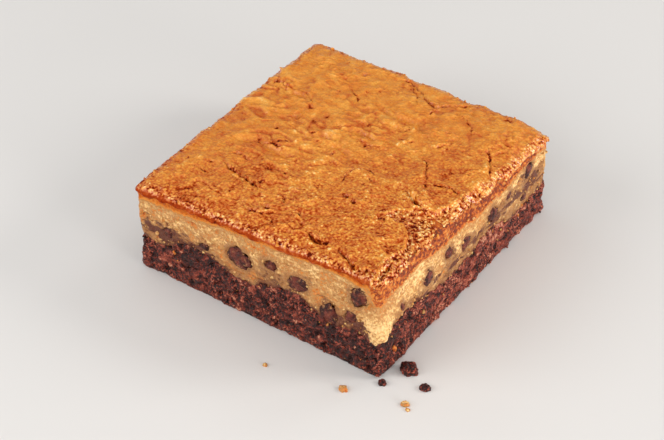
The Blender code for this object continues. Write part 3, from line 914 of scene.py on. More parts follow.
PITS = (
    (-23.5, -19.7, 0.4), (-12.2, -26.7, 0.4), (-9.0, -20.3, 0.6), (-5.3, -24.7, 0.55), (-2.6, -27.1, 0.5),
    (-0.9, -22.5, 0.55), (4.9, -24.6, 0.55), (21.0, -16.1, 0.65), (-14.6, -5.8, 0.5), (-13.3, -5.3, 0.4),
    (-18.6, -1.0, 0.6), (-10.4, 1.7, 0.45), (-27.2, -1.6, 0.5), (-16.9, 10.3, 0.65), (-13.4, 6.2, 0.7),
    (-11.8, 9.4, 0.7), (-14.1, 29.0, 0.6), (-29.5, 15.1, 0.8), (-2.3, -3.3, 0.35), (2.8, 3.9, 0.35),
    (9.8, 11.5, 0.5),
    (-20.3, -12.0, 0.3), (-28.8, -21.0, 0.35), (10.7, -8.8, 0.4), (17.0, 13.0, 0.6), (15.6, 19.0, 0.5),
    (23.4, 32.8, 1.0), (22.1, -16.5, 0.5), (7.0, 24.0, 0.5), (27.5, 8.0, 0.5),
)

PIT_TURN = 2.4

FLAKES = (
    (-14.7, 8.0, 0.8), (-7.9, -3.8, 0.6), (-5.5, -6.3, 0.4), (-7.1, -12.3, 0.65), (-2.5, -11.9, 0.35),
    (-0.4, -10.1, 0.7), (7.3, -5.4, 0.5), (9.1, -5.7, 0.6), (4.9, -5.2, 0.45), (21.4, -5.6, 0.9),
    (22.2, -6.6, 0.6), (3.7, 2.2, 0.4), (8.2, 15.6, 0.5), (8.0, 8.4, 0.7), (8.8, 10.3, 0.6),
    (-14.4, -12.6, 0.4), (-14.1, -0.1, 0.5), (8.9, 0.3, 0.45),
    (9.3, 3.7, 0.45), (23.3, -3.3, 0.6), (24.9, -4.8, 0.7), (-15.3, -21.6, 0.5), (-13.8, -22.2, 0.6),
    (-12.2, -22.9, 0.5), (-10.6, -23.7, 0.5), (12.6, -31.6, 0.6), (15.0, -32.2, 0.5), (18.0, -31.8, 0.6),
    (22.4, -33.0, 0.6), (5.8, -26.2, 0.5), (29.3, -27.6, 0.7), (30.6, -30.0, 0.7), (28.9, 13.4, 0.8),
    (30.4, 6.4, 0.7),
)

FOLDS = (
    Trail(
        ((-15.1, 0.6), (-11.5, -0.7), (-8.3, 1.0), (-3.2, 2.1), (1.1, 1.3)),
        0.8 * MM, 0.45 * MM, 0.22 * MM,
    ),
    Trail(((-28.1, 12.9), (-24.4, 12.5), (-21.2, 12.7), (-19.0, 11.7)), 0.8 * MM, 0.40 * MM, 0.20 * MM),
    Trail(((-9.5, 7.2), (-3.3, 7.7), (2.9, 7.2), (6.7, 7.9)), 0.9 * MM, 0.45 * MM, 0.22 * MM),
    Trail(((-18.0, 9.1), (-17.5, 4.6), (-13.7, 2.4)), 0.8 * MM, 0.40 * MM, 0.20 * MM),
    Trail(((2.7, -4.0), (1.3, -1.3), (-1.9, 0.2), (-4.8, -0.9)), 0.9 * MM, 0.50 * MM, 0.25 * MM),
    Trail(((-25.0, -10.0), (-19.5, -7.5), (-12.0, -9.5), (-7.5, -8.0)), 0.9 * MM, 0.45 * MM, 0.20 * MM),
    Trail(((-4.0, 19.0), (2.0, 17.0), (7.0, 18.5), (13.0, 15.0)), 1.0 * MM, 0.50 * MM, 0.22 * MM),
    Trail(((-8.0, -28.0), (0.0, -27.0), (7.0, -24.0), (12.0, -21.0)), 0.8 * MM, 0.35 * MM, 0.18 * MM),
)


@dataclass(frozen=True)
class Smear:
    """A moist brown smear on a cut face: its middle along the face and up, and its half sizes."""

    side: Side
    along: float
    height: float
    half_long: float
    half_high: float
    strength: float = 1.0

    def strength_at(self, places: np.ndarray, form: BarForm, warp: np.ndarray) -> np.ndarray:
        """How strongly the smear shows at each place.

        Args:
            places: Places, shape (n, 3).
            form: The bar's shape.
            warp: Numbers around 0 that make the smear's edge uneven.

        Returns:
            Strengths from 0 to 1, shape (n,).
        """
        reach = np.hypot(
            (places @ self.side.along - self.along * MM) / (self.half_long * MM),
            (places[:, 2] - self.height * MM) / (self.half_high * MM),
        )
        half = form.half_x if self.side in (Side.RIGHT, Side.LEFT) else form.half_y
        on_face = smooth(places @ self.side.outward, half - 3.0 * MM, half - 1.5 * MM)
        return self.strength * (1.0 - smooth(reach + 0.8 * warp, 0.45, 1.15)) * on_face


SMEARS = (
    Smear(Side.FRONT, -23.5, 12.8, 10.0, 3.6), Smear(Side.FRONT, 4.5, 14.8, 5.0, 3.8),
    Smear(Side.FRONT, 14.0, 19.0, 3.6, 1.5, 0.8), Smear(Side.FRONT, 24.8, 13.4, 2.8, 2.4),
    Smear(Side.RIGHT, -16.0, 12.8, 4.0, 2.2, 0.8), Smear(Side.RIGHT, -6.6, 13.2, 4.2, 2.4),
    Smear(Side.RIGHT, 1.0, 14.4, 3.4, 2.0, 0.9), Smear(Side.RIGHT, 9.0, 13.0, 4.0, 1.8, 0.9),
    Smear(Side.RIGHT, 16.5, 14.5, 5.0, 2.6), Smear(Side.RIGHT, 24.5, 15.0, 5.0, 3.4),
    Smear(Side.RIGHT, 31.0, 14.0, 4.0, 3.0, 0.9), Smear(Side.RIGHT, -24.0, 12.6, 3.0, 1.4, 0.7),
    Smear(Side.BACK, -12.0, 12.5, 6.0, 2.4), Smear(Side.BACK, 9.0, 13.0, 5.0, 2.6, 0.9),
    Smear(Side.BACK, 25.0, 12.0, 4.0, 2.0, 0.8), Smear(Side.LEFT, -20.0, 12.5, 5.5, 2.4),
    Smear(Side.LEFT, 3.0, 13.0, 4.5, 2.6, 0.9), Smear(Side.LEFT, 21.0, 12.5, 5.0, 2.2, 0.8),
)

DARK_SMEARS = (
    Smear(Side.FRONT, -27.0, 12.8, 7.5, 3.0), Smear(Side.FRONT, -15.5, 12.4, 4.5, 2.2, 0.9),
    Smear(Side.FRONT, -24.5, 12.8, 10.5, 3.8, 0.78), Smear(Side.FRONT, 28.4, 12.6, 2.2, 1.8, 0.9),
    Smear(Side.FRONT, 3.5, 12.4, 5.0, 1.5, 0.6), Smear(Side.FRONT, 23.0, 11.8, 4.0, 1.6, 0.8),
    Smear(Side.FRONT, 19.0, 15.8, 2.6, 1.2, 0.5), Smear(Side.RIGHT, -18.0, 10.6, 4.5, 1.6, 0.9),
    Smear(Side.RIGHT, -13.0, 13.0, 3.0, 1.1, 0.8), Smear(Side.RIGHT, -5.5, 12.0, 4.0, 1.6, 0.9),
    Smear(Side.RIGHT, 3.5, 12.6, 4.0, 1.4, 0.85), Smear(Side.RIGHT, 12.5, 12.6, 5.0, 1.5, 0.9),
    Smear(Side.RIGHT, 20.5, 13.0, 4.5, 1.8, 0.9), Smear(Side.RIGHT, 28.0, 13.0, 5.0, 2.4, 0.9),
    Smear(Side.RIGHT, 22.5, 17.2, 2.6, 1.1, 0.7), Smear(Side.RIGHT, -7.0, 16.0, 2.4, 0.9, 0.6),
    Smear(Side.BACK, -16.0, 11.5, 6.0, 1.8, 0.7), Smear(Side.BACK, 14.0, 11.5, 6.0, 1.8, 0.7),
    Smear(Side.LEFT, -14.0, 11.5, 6.0, 1.8, 0.7), Smear(Side.LEFT, 12.0, 11.5, 7.0, 1.8, 0.7),
)


@dataclass(frozen=True)
class Wrinkle:
    """Fine ridges with a crease beside each: bump size, seed, ridge width as a level, and weight."""

    size: float
    seed: int
    width: float
    weight: float

    def over(self, turned: np.ndarray, places: np.ndarray) -> tuple[np.ndarray, np.ndarray]:
        """How strong the ridges and the creases are at each place.

        Args:
            turned: Places bent by broader bumps, so that the ridges wander.
            places: The same places unbent.

        Returns:
            Ridges and creases, each from 0 to the weight.
        """
        level = rough(turned * np.array([0.75, 1.15, 1.0]), self.size, self.seed, 2)
        weight = self.weight * smooth(ripple(places, 2.2 * self.size, self.seed + 1), -0.02, 0.30)
        ridges = weight * np.exp(-((level / self.width) ** 2))
        creases = weight * np.exp(-(((level + 1.5 * self.width) / (0.55 * self.width)) ** 2))
        return ridges, creases


@dataclass(frozen=True)
class CrustZones:
    """Shares from 0 to 1 that say what each vertex of the crust belongs to.

    The lid's underside is hidden. The rim lies along the cut faces, right marks the one on the right,
    and torn says where that one is broken. The lip is the beaded edge, and the band the smooth browned
    strip below it. Flaked is the patch that lost its skin, sunken is how far it lies lower, and the skin's
    edge runs around it. Grainy and sandy places have a coarse and a fine grain.
    """

    hidden: np.ndarray
    rim: np.ndarray
    right: np.ndarray
    torn: np.ndarray
    lip: np.ndarray
    band: np.ndarray
    flaked: np.ndarray
    sunken: np.ndarray
    skin_edge: np.ndarray
    grainy: np.ndarray
    sandy: np.ndarray


@dataclass
class CrustLid:
    """The baked top: a thin lid whose rim rolls over the cut faces."""

    form: BarForm
    step: float = 0.25 * MM
    rim_rows: int = 12
    flat_inset: float = 1.7 * MM
    rim_profile: tuple = (
        (-1.7, 0.0), (-0.5, 0.38), (0.15, 1.0), (0.35, 1.6), (0.15, 2.0), (-0.6, 2.2), (-3.5, 2.1),
    )
    hang: tuple = ((0.45, Bumps(7.0 * MM, 11, 1)), (0.35, Bumps(2.0 * MM, 12, 1)))
    bends: tuple = ((0.20 * MM, 0.8 * MM, 21), (0.55 * MM, 2.0 * MM, 23), (0.90 * MM, 5.0 * MM, 25))
    waves: Bumps = Bumps(7.0 * MM, 45, 2)
    soft: Bumps = Bumps(2.6 * MM, 43)
    grain: Bumps = Bumps(0.72 * MM, 42, 2)
    wrinkles: tuple = (
        Wrinkle(7.5 * MM, 101, 0.09, 0.50), Wrinkle(4.2 * MM, 103, 0.11, 0.34),
        Wrinkle(2.6 * MM, 105, 0.12, 0.28), Wrinkle(1.7 * MM, 107, 0.13, 0.22),
    )
    beads: Pebbles = Pebbles(0.92 * MM, 41)
    holes: Pebbles = Pebbles(2.4 * MM, 44)
    plates: Pebbles = Pebbles(6.5 * MM, 46)
    plate_bend: float = 1.65 * MM
    skin: float = 0.26 * MM
    flaked_depth: float = 0.25 * MM
    flaked_middle_depth: float = 0.50 * MM
    wave_height: float = 0.70 * MM
    soft_height: float = 0.34 * MM
    wrinkle_height: float = 0.62 * MM
    crease_depth: float = 0.22 * MM
    bead_height: float = 0.46 * MM
    flake_height: float = 0.26 * MM
    torn_depth: float = 0.35 * MM
    hole_depth: float = 0.35 * MM
    blister_height: float = 0.20 * MM
    hairline_depth: float = 0.10 * MM

    def base_mesh(self) -> bpy.types.Mesh:
        """The lid before its fine relief: a square sheet, its rolled rim and a flat underside."""
        u, v = self.form.loop(self.step)
        across = round(2.0 * self.form.half_x / self.step)
        along = round(2.0 * self.form.half_y / self.step)
        grid_u, grid_v = np.meshgrid(
            np.linspace(-1, 1, across + 1), np.linspace(-1, 1, along + 1), indexing="ij"
        )
        x, y = self.form.plan(grid_u, grid_v, -self.flat_inset)
        sheet = np.stack([x, y, self.form.top(x, y)], axis=-1).reshape(-1, 3)
        index = np.arange(len(sheet)).reshape(across + 1, along + 1)
        quads = np.stack([index[:-1, :-1], index[1:, :-1], index[1:, 1:], index[:-1, 1:]], axis=-1)
        rim_index = np.concatenate([index[:-1, 0], index[-1, :-1], index[:0:-1, -1], index[0, :0:-1]])
        rows = [rim_index]
        points = [sheet]
        count = len(sheet)
        profile = np.array(self.rim_profile) * MM
        stations = np.linspace(0.0, len(profile) - 1.0, self.rim_rows + 1)[1:]
        for station in stations:
            offset = np.interp(station, np.arange(len(profile)), profile[:, 0])
            drop = np.interp(station, np.arange(len(profile)), profile[:, 1])
            x, y = self.form.plan(u, v, offset)
            wave = self.drop_wave(x, y) * smooth(np.array(drop), 0.6 * MM, 2.0 * MM)
            points.append(np.stack([x, y, self.form.top(x, y) - drop * (1.0 + wave)], axis=-1))
            rows.append(np.arange(count, count + len(u)))
            count += len(u)
        rows = np.array(rows)
        after = np.roll(rows, -1, axis=1)
        skirt = np.stack([rows[1:], after[1:], after[:-1], rows[:-1]], axis=-1).reshape(-1, 4)
        mesh = bpy.data.meshes.new("crust")
        faces = quads.reshape(-1, 4).tolist() + skirt.tolist() + [rows[-1][::-1].tolist()]
        mesh.from_pydata(np.concatenate(points).tolist(), [], faces)
        mesh.update()
        return mesh

    def drop_wave(self, x: np.ndarray, y: np.ndarray) -> np.ndarray:
        """How much further down or less far the rim hangs from place to place, as a share."""
        flat = np.stack([x, y, np.zeros_like(x)], axis=-1)
        return sum(share * bumps.over(flat) for share, bumps in self.hang)

    def bent(self, places: np.ndarray) -> tuple[np.ndarray, np.ndarray]:
        """Plan places shifted this way and that, so that cracks and edges wander."""
        x, y = places[:, 0].copy(), places[:, 1].copy()
        for reach, size, seed in self.bends:
            x += reach * ripple(places, size, seed)
            y += reach * ripple(places, size, seed + 1)
        return x, y

    def crack_marks(self, bent: tuple, uneven: np.ndarray, beaded: np.ndarray) -> tuple:
        """Opens the cracks, folds and pits.

        Args:
            bent: Bent plan places.
            uneven: Bumps that vary a crack's depth.
            beaded: Finer bumps that make its edge ragged.

        Returns:
            How much each place moves up, and how dark a crack it is, from 0 to 1; that darkness is painted
            shade inside cracks and pits.
        """
        rise = np.zeros(len(uneven))
        crack = np.zeros(len(uneven))
        for trail in CRACKS:
            move, near = trail.profile(*bent)
            rise += move * (1.0 + 0.9 * uneven)
            # Painted shade along the crack.
            crack = np.maximum(crack, np.clip(near - 0.14 + 0.45 * beaded, 0.0, 1.0))
        for fold in FOLDS:
            rise += fold.profile(*bent)[0] * (1.0 + 0.8 * uneven)
        for number, (pit_x, pit_y, radius) in enumerate(PITS):
            turn = PIT_TURN * number
            off_x, off_y = bent[0] - pit_x * MM, bent[1] - pit_y * MM
            along = off_x * math.cos(turn) + off_y * math.sin(turn)
            across = off_y * math.cos(turn) - off_x * math.sin(turn)
            gap = np.hypot(along / 1.7, across) / (0.85 * radius * MM) + 0.5 * beaded
            rise += (0.18 * np.exp(-((gap - 1.8) ** 2)) - 0.5 * np.exp(-(gap**2))) * MM
            # Painted shade inside the pit.
            crack = np.maximum(crack, np.clip(1.02 - 0.38 * gap, 0.0, 1.0))
        return rise, crack

    def pale_flakes(self, bent: tuple, beaded: np.ndarray) -> np.ndarray:
        """How much of a pale curled flake each place carries."""
        pale = np.zeros(len(beaded))
        for flake_x, flake_y, radius in FLAKES:
            gap = np.hypot(bent[0] - flake_x * MM, bent[1] - flake_y * MM) / (1.15 * radius * MM)
            pale = np.maximum(pale, np.exp(-(gap**2)) * (1.0 + 1.2 * beaded))
        return pale

    def zones(self, places: np.ndarray, bent: tuple, soft: np.ndarray) -> CrustZones:
        """Sorts the vertices into the crust's zones.

        Args:
            places: The vertices, shape (n, 3).
            bent: Bent plan places.
            soft: Soft bumps that make the zones' borders uneven.

        Returns:
            The zones.
        """
        x, y, z = places.T
        drop = self.form.top(x, y) - z
        inside = self.form.inside(x, y)
        hidden = smooth(inside, 3.0 * MM, 3.4 * MM) * (drop > 1.5 * MM)
        within = depth_within(*bent, FLAKED) + 0.25 * MM * rough(places, 2.0 * MM, 31)
        towards_front = 1.0 - smooth(y, -6.0 * MM, 8.0 * MM)
        flaked = smooth(within, 0.0, 0.45 * MM)
        sunken = flaked * towards_front
        skin_edge = np.exp(-(((within + 0.25 * MM) / (0.28 * MM)) ** 2)) * towards_front
        rim = 1.0 - smooth(inside + 0.8 * MM * soft, 0.3 * MM, 3.0 * MM)
        right = smooth(x, self.form.half_x - 5.0 * MM, self.form.half_x - 1.0 * MM)
        band = smooth(drop + 0.5 * MM * soft, 0.5 * MM, 1.1 * MM) * rim * (1.0 - right)
        lip = np.exp(-(((inside - 0.5 * MM + 0.5 * MM * soft) / (0.8 * MM)) ** 2)) * (1.0 - band)
        lip *= 0.72 + 0.55 * ripple(places, 5.0 * MM, 48)
        torn = smooth(ripple(places, 4.4 * MM, 49), -0.30, 0.20)
        beaded = 0.30 + (0.70 - 0.45 * smooth(y, -4.0 * MM, 14.0 * MM)) * right * (0.35 + 0.65 * torn)
        grainy = np.clip(sunken + rim * beaded * (1.0 - band) + 0.75 * lip, 0.0, 1.0)
        sandy = smooth(towards_camera(x, y), -20.0 * MM, 30.0 * MM) * (1.0 - band) * (1.0 - hidden)
        return CrustZones(hidden, rim, right, torn, lip, band, flaked, sunken, skin_edge, grainy, sandy)

    def build(self, material: bpy.types.Material) -> bpy.types.Object:
        """Makes the crust with its cracks, pits, flaked patch and grain.

        Args:
            material: The crust's finish.

        Returns:
            The crust's object.
        """
        mesh = self.base_mesh()
        places = vertex_places(mesh)
        x, y, _ = places.T
        bent = self.bent(places)
        uneven = ripple(places, 1.7 * MM, 27)
        beaded = 0.8 * uneven + 0.4 * ripple(places, 1.1 * MM, 28)
        soft, waves, grain = [bumps.over(places) for bumps in (self.soft, self.waves, self.grain)]
        lumps, _, lump_label = self.beads.over(places)
        zones = self.zones(places, bent, soft)
        rise, crack = self.crack_marks(bent, uneven, beaded)
        pale = self.pale_flakes(bent, beaded)

        turned = places + 0.9 * MM * np.stack([soft, waves, 0.0 * x], axis=1)
        wrinkled = [wrinkle.over(turned, places) for wrinkle in self.wrinkles]
        ridges, creases = [sum(kind) for kind in zip(*wrinkled)]
        holes, _, hole_label = self.holes.over(places)
        prick = (hole_label > 0.76) * np.clip(1.0 - holes / 0.20, 0.0, 1.0) * (1.0 - zones.band)
        blister = (hole_label < 0.25) * np.clip(1.0 - (holes / 0.40) ** 2, 0.0, 1.0)
        shift = [self.plate_bend * ripple(places, 2.0 * MM, seed) for seed in (23, 24)]
        first, second, _ = self.plates.over(places + np.stack([*shift, 0.0 * x], axis=1))
        hairline = np.clip(1.0 - (second - first) / 0.10, 0.0, 1.0)
        hairline *= smooth(rough(places, 9.0 * MM, 47, 2), 0.02, 0.2)

        patch_depth = self.flaked_depth + self.flaked_middle_depth * self.form.flaked_share(x, y)
        rise += self.skin * zones.skin_edge - patch_depth * zones.sunken
        rise += self.wave_height * waves + self.soft_height * soft
        rise += (self.wrinkle_height * ridges - self.crease_depth * creases) * (1.0 - zones.band)
        rise += (0.02 + 0.04 * zones.sandy + 0.08 * zones.grainy) * MM * grain * (1.0 - 0.8 * zones.band)
        rise += zones.grainy * (1.0 - 0.8 * crack) * self.bead_height * (0.42 - lumps)
        rise += self.flake_height * pale + self.blister_height * blister
        rise -= self.torn_depth * zones.rim * zones.right * (1.0 - zones.torn)
        rise -= self.hole_depth * prick + self.hairline_depth * hairline
        push_out(mesh, rise * (1.0 - zones.hidden))

        still = 1.0 - 0.75 * zones.band
        far = 1.0 - smooth(towards_camera(x, y), -40.0 * MM, -10.0 * MM)
        browning = 0.365 + 0.03 * zones.sandy - 0.05 * far - 0.02 * zones.flaked
        # The lip and the right rim are painted lighter: painted highlights at the lip and painted light from
        # the right on the rim.
        browning += 0.35 * zones.band - 0.02 * zones.lip - 0.09 * zones.right * zones.rim
        browning -= 0.10 * blister + 0.08 * waves + 0.24 * pale + 0.22 * zones.skin_edge
        browning -= still * ((0.05 + 0.20 * zones.sandy) * grain + 0.13 * soft)
        # Creases are painted darker and ridges lighter: painted shade in the creases, painted highlights on
        # the ridges.
        browning += still * (0.40 * creases - 0.17 * (ridges - 0.08))
        # Darker between the beads and lighter on them: partly painted shade in the gaps and highlights on the
        # beads, partly a deeper browning between them.
        browning += (0.86 * (lumps - 0.42) - 0.26 * (lump_label > 0.80)) * zones.grainy * (1.0 - crack)
        browning += 0.05 * smooth(-x - y, 10.0 * MM, 50.0 * MM)
        # Pricked holes and hairlines join the cracks' painted shade.
        crack = np.maximum(crack, np.maximum(0.95 * prick, 0.80 * hairline)) * (1.0 - pale)
        put(mesh, "browning", np.clip(browning, 0.0, 1.0))
        put(mesh, "crack", crack)
        put(mesh, "grainy", zones.grainy)
        put(mesh, "sandy", zones.sandy)
        return new_object("baked_crust", mesh, material)


@dataclass(frozen=True)
class Dough:
    """The cookie crumb's random patterns at each vertex; the label is a fine grain's own number."""

    lumps: np.ndarray
    small: np.ndarray
    label: np.ndarray
    soft: np.ndarray
    fibres: np.ndarray
    torn: np.ndarray
    pores: np.ndarray
    warp: np.ndarray


@dataclass(frozen=True)
class CookieZones:
    """Where each vertex of the cookie's wall lies: lengths in metres, and shares from 0 to 1.

    Shown is the wall's outer part and right its right face. The gap leads to the nearest chip, which lies
    in a socket. The band is the browned dough below the crust, whose colour has faded out further down:
    it is glazed, but grainy on the right face. Low dough lies by the brownie, and the near corner is the
    one nearest to the camera.
    """

    shown: np.ndarray
    right: np.ndarray
    gap: np.ndarray
    socket: np.ndarray
    below_top: np.ndarray
    above_join: np.ndarray
    browned_to: np.ndarray
    band: np.ndarray
    faded: np.ndarray
    glazed: np.ndarray
    grainy: np.ndarray
    low: np.ndarray
    from_corner: np.ndarray
    near_corner: np.ndarray


@dataclass
class CookieWall:
    """The pale doughy cookie under the crust, with a socket for each chip."""

    form: BarForm
    spots: list[ChipSpot]
    step: float = 0.21 * MM
    rows: int = 62
    profile: tuple = (
        (0.0, -0.6), (0.04, -0.3), (0.22, -0.15), (0.5, -0.1), (0.78, -0.15), (0.94, -0.1), (1.0, -0.4),
    )
    under_crust: float = 1.2 * MM
    crags: tuple = ((0.35 * MM, 6.0 * MM), (0.15 * MM, 2.4 * MM))
    lumps: Pebbles = Pebbles(1.8 * MM, 51, (0.7, 0.7, 1.0))
    small: Pebbles = Pebbles(0.95 * MM, 52)
    soft: Bumps = Bumps(2.4 * MM, 53, 4)
    tears: Bumps = Bumps(3.0 * MM, 54, 3, (0.8, 0.8, 1.6))
    socket_edge: Bumps = Bumps(1.6 * MM, 55, 2)
    warp: Bumps = Bumps(2.5 * MM, 56)
    patches: Bumps = Bumps(4.2 * MM, 57, 1, (1.0, 1.0, 1.3))
    fibres: Bumps = Bumps(1.1 * MM, 58, 3, (0.5, 0.5, 1.5))
    stain_reach: Bumps = Bumps(5.0 * MM, 59, 1)
    clouds: Bumps = Bumps(5.0 * MM, 60, 2)
    flecks: Bumps = Bumps(2.2 * MM, 63)
    streaks: Bumps = Bumps(1.5 * MM, 64, 3, (0.55, 0.55, 1.5))
    soft_height: float = 0.40 * MM
    lump_height: float = 0.26 * MM
    small_height: float = 0.16 * MM
    fibre_height: float = 0.24 * MM
    grain_height: float = 0.45 * MM
    corner_height: float = 1.1 * MM
    pore_depth: float = 0.35 * MM
    tear_depth: float = 0.55 * MM
    socket_rim: float = 0.16 * MM
    socket_depth: float = 1.1 * MM

    def base_mesh(self) -> bpy.types.Mesh:
        """The wall before its fine relief, with level skins inside the bar at both ends."""
        u, v = self.form.loop(self.step)
        rings = []
        for inset in (-9.0 * MM, -4.0 * MM):
            x, y = self.form.plan(u, v, inset)
            rings.append(np.stack([x, y, self.form.join(x, y) + 0.15 * MM], axis=-1))
        shares, offsets = np.array(self.profile).T
        for share in np.linspace(0.0, 1.0, self.rows):
            x, y = self.form.plan(u, v, np.interp(share, shares, offsets) * MM)
            low = ragged_join(self.form, x, y) - 0.35 * MM
            high = self.form.top(x, y) - self.under_crust
            rings.append(np.stack([x, y, low + (high - low) * share], axis=-1))
        x, y = self.form.plan(u, v, -4.0 * MM)
        rings.append(np.stack([x, y, self.form.top(x, y) - self.under_crust], axis=-1))
        return ring_mesh("cookie", np.array(rings))

    def beside_tongue(self, places: np.ndarray, ragged: np.ndarray) -> np.ndarray:
        """How much brownie is smeared over the front face beside the near corner's pale tongue.

        Args:
            places: Places, shape (n, 3).
            ragged: Small lengths that make the smear's edge uneven.

        Returns:
            Strengths from 0 to 1, shape (n,).
        """
        x, y, z = places.T
        from_corner = self.form.half_x - x
        tongue = 0.3 * MM + 3.5 * MM * smooth(z, 6.5 * MM, 15.5 * MM)
        reach = 16.4 * MM - 0.65 * np.maximum(from_corner - 3.0 * MM, 0.0)
        beside = smooth(from_corner + ragged - tongue, 0.0, 0.6 * MM)
        beside = beside * (1.0 - smooth(z + ragged - reach, -0.8 * MM, 0.4 * MM))
        near = 1.0 - smooth(from_corner, 6.5 * MM, 9.5 * MM)
        return beside * near * smooth(-y, self.form.half_y - 2.5 * MM, self.form.half_y - 1.2 * MM)

    def dough(self, places: np.ndarray) -> Dough:
        """Draws the crumb's random patterns."""
        small, _, label = self.small.over(places)
        return Dough(
            lumps=self.lumps.over(places)[0],
            small=small,
            label=label,
            soft=self.soft.over(places),
            fibres=self.fibres.over(places),
            torn=smooth(self.tears.over(places), 0.18, 0.42),
            pores=(label > 0.72) * np.clip(1.0 - (small / 0.42) ** 2, 0.0, 1.0),
            warp=self.warp.over(places),
        )

    def zones(self, places: np.ndarray, warp: np.ndarray) -> CookieZones:
        """Sorts the vertices into the cookie's zones.

        Args:
            places: The vertices, shape (n, 3).
            warp: Numbers around 0 that make the zones' borders uneven.

        Returns:
            The zones.
        """
        x, y, z = places.T
        right = self.form.on_right(x)
        gap = nearest_chip(places, self.spots) + 0.35 * MM * self.socket_edge.over(places)
        below_top = self.form.top(x, y) - z
        above_join = z - ragged_join(self.form, x, y)
        browned_to, faded_to = self.form.browned(x, y)
        band = 1.0 - smooth(below_top + 0.8 * MM * warp - browned_to, -0.6 * MM, 0.7 * MM)
        faded = 1.0 - smooth(below_top + 1.4 * MM * warp - faded_to, -3.2 * MM, -0.4 * MM)
        reach = 2.6 * MM + 1.6 * MM * self.stain_reach.over(places) + 1.6 * MM * right
        from_corner = np.hypot(x - self.form.half_x, y + self.form.half_y)
        return CookieZones(
            shown=1.0 - smooth(self.form.inside(x, y), 2.2 * MM, 3.2 * MM),
            right=right,
            gap=gap,
            socket=1.0 - smooth(gap, -0.60 * MM, -0.25 * MM),
            below_top=below_top,
            above_join=above_join,
            browned_to=browned_to,
            band=band,
            faded=faded,
            glazed=band * (1.0 - right),
            grainy=np.maximum(band, 0.6 * faded) * right,
            low=1.0 - smooth(above_join + 2.6 * MM * warp - reach, -2.4 * MM, 1.2 * MM),
            from_corner=from_corner,
            near_corner=1.0 - smooth(from_corner + 1.5 * MM * warp, 3.0 * MM, 8.0 * MM),
        )

    def relief(self, places: np.ndarray, dough: Dough, zones: CookieZones) -> np.ndarray:
        """How far out each vertex moves.

        Args:
            places: The vertices, shape (n, 3).
            dough: The crumb's patterns.
            zones: The vertices' zones.

        Returns:
            Heights in metres.
        """
        z = places[:, 2]
        rise = solid_relief(places, self.crags, 0.0)
        rise += self.soft_height * dough.soft + self.lump_height * (0.45 - dough.lumps)
        swell = np.exp(-((zones.from_corner / (3.5 * MM)) ** 2))
        rise += self.corner_height * swell * (1.0 - smooth(z, 14.0 * MM, 20.0 * MM))
        rise += self.small_height * (0.4 - dough.small)
        rise += self.fibre_height * dough.fibres - self.pore_depth * dough.pores
        rise += zones.grainy * self.grain_height * (0.42 - dough.small)
        rise -= self.tear_depth * dough.torn * (1.0 - 0.6 * zones.faded)
        rise *= 1.0 - 0.45 * zones.glazed
        rise += self.socket_rim * np.exp(-(((zones.gap - 0.4 * MM) / (0.4 * MM)) ** 2))
        rise = rise * (1.0 - zones.socket) - self.socket_depth * zones.socket
        return rise * zones.shown

    def browning(self, places: np.ndarray, dough: Dough, zones: CookieZones) -> np.ndarray:
        """How browned each vertex is, from 0 for raw pale dough upwards, with painted shade in pores and
        tears and the right face painted paler by painted light.

        Args:
            places: The vertices, shape (n, 3).
            dough: The crumb's patterns.
            zones: The vertices' zones.

        Returns:
            Numbers that may still pass 0 and 1.
        """
        x, y, z = places.T
        warp, right, band, faded = dough.warp, zones.right, zones.band, zones.faded
        still = 1.0 - 0.6 * zones.glazed
        above = zones.below_top + 0.4 * MM * warp - zones.browned_to
        glow = 0.52 - 0.30 * smooth(above, -1.3 * MM, 0.3 * MM)
        baked = 0.31 - (0.06 - 0.26 * right) * faded + glow * zones.glazed
        # Below its browned edge the right face is painted paler: painted light from the right.
        baked += 0.24 * band * right - 0.14 * right * (1.0 - faded)
        baked += 0.09 * smooth(zones.below_top + 2.0 * MM * warp, 6.0 * MM, 12.0 * MM) - 0.05
        # Pores are painted darker: painted shade in them.
        baked += still * (0.14 * dough.pores - 0.14 * dough.soft + 0.18 * (dough.lumps - 0.45))
        baked -= still * 0.32 * dough.fibres
        baked -= zones.grainy * (0.60 * (0.4 - dough.small) + 0.24 * (dough.label > 0.85) - 0.12)
        # Tears are painted darker: painted shade in them.
        baked += 0.09 * dough.torn * still
        upper = smooth(z + 2.0 * MM * warp, 15.0 * MM, 20.0 * MM)
        towards_tan = (0.56 + 0.6 * (baked - 0.50) - baked) * upper
        towards_pale = 0.8 * (0.04 - baked) * (1.0 - upper)
        baked += zones.near_corner * (towards_tan + towards_pale)
        clouds = smooth(self.clouds.over(places), -0.05, 0.20) * (1.0 - zones.near_corner)
        baked += 0.16 * clouds * (1.0 - faded) * still
        from_left = np.hypot(x + self.form.half_x, y + self.form.half_y)
        left_corner = (1.0 - smooth(from_left, 1.0 * MM, 3.5 * MM)) * (1.0 - band)
        return baked + (0.10 - 0.30 * smooth(dough.soft, -0.1, 0.2)) * left_corner

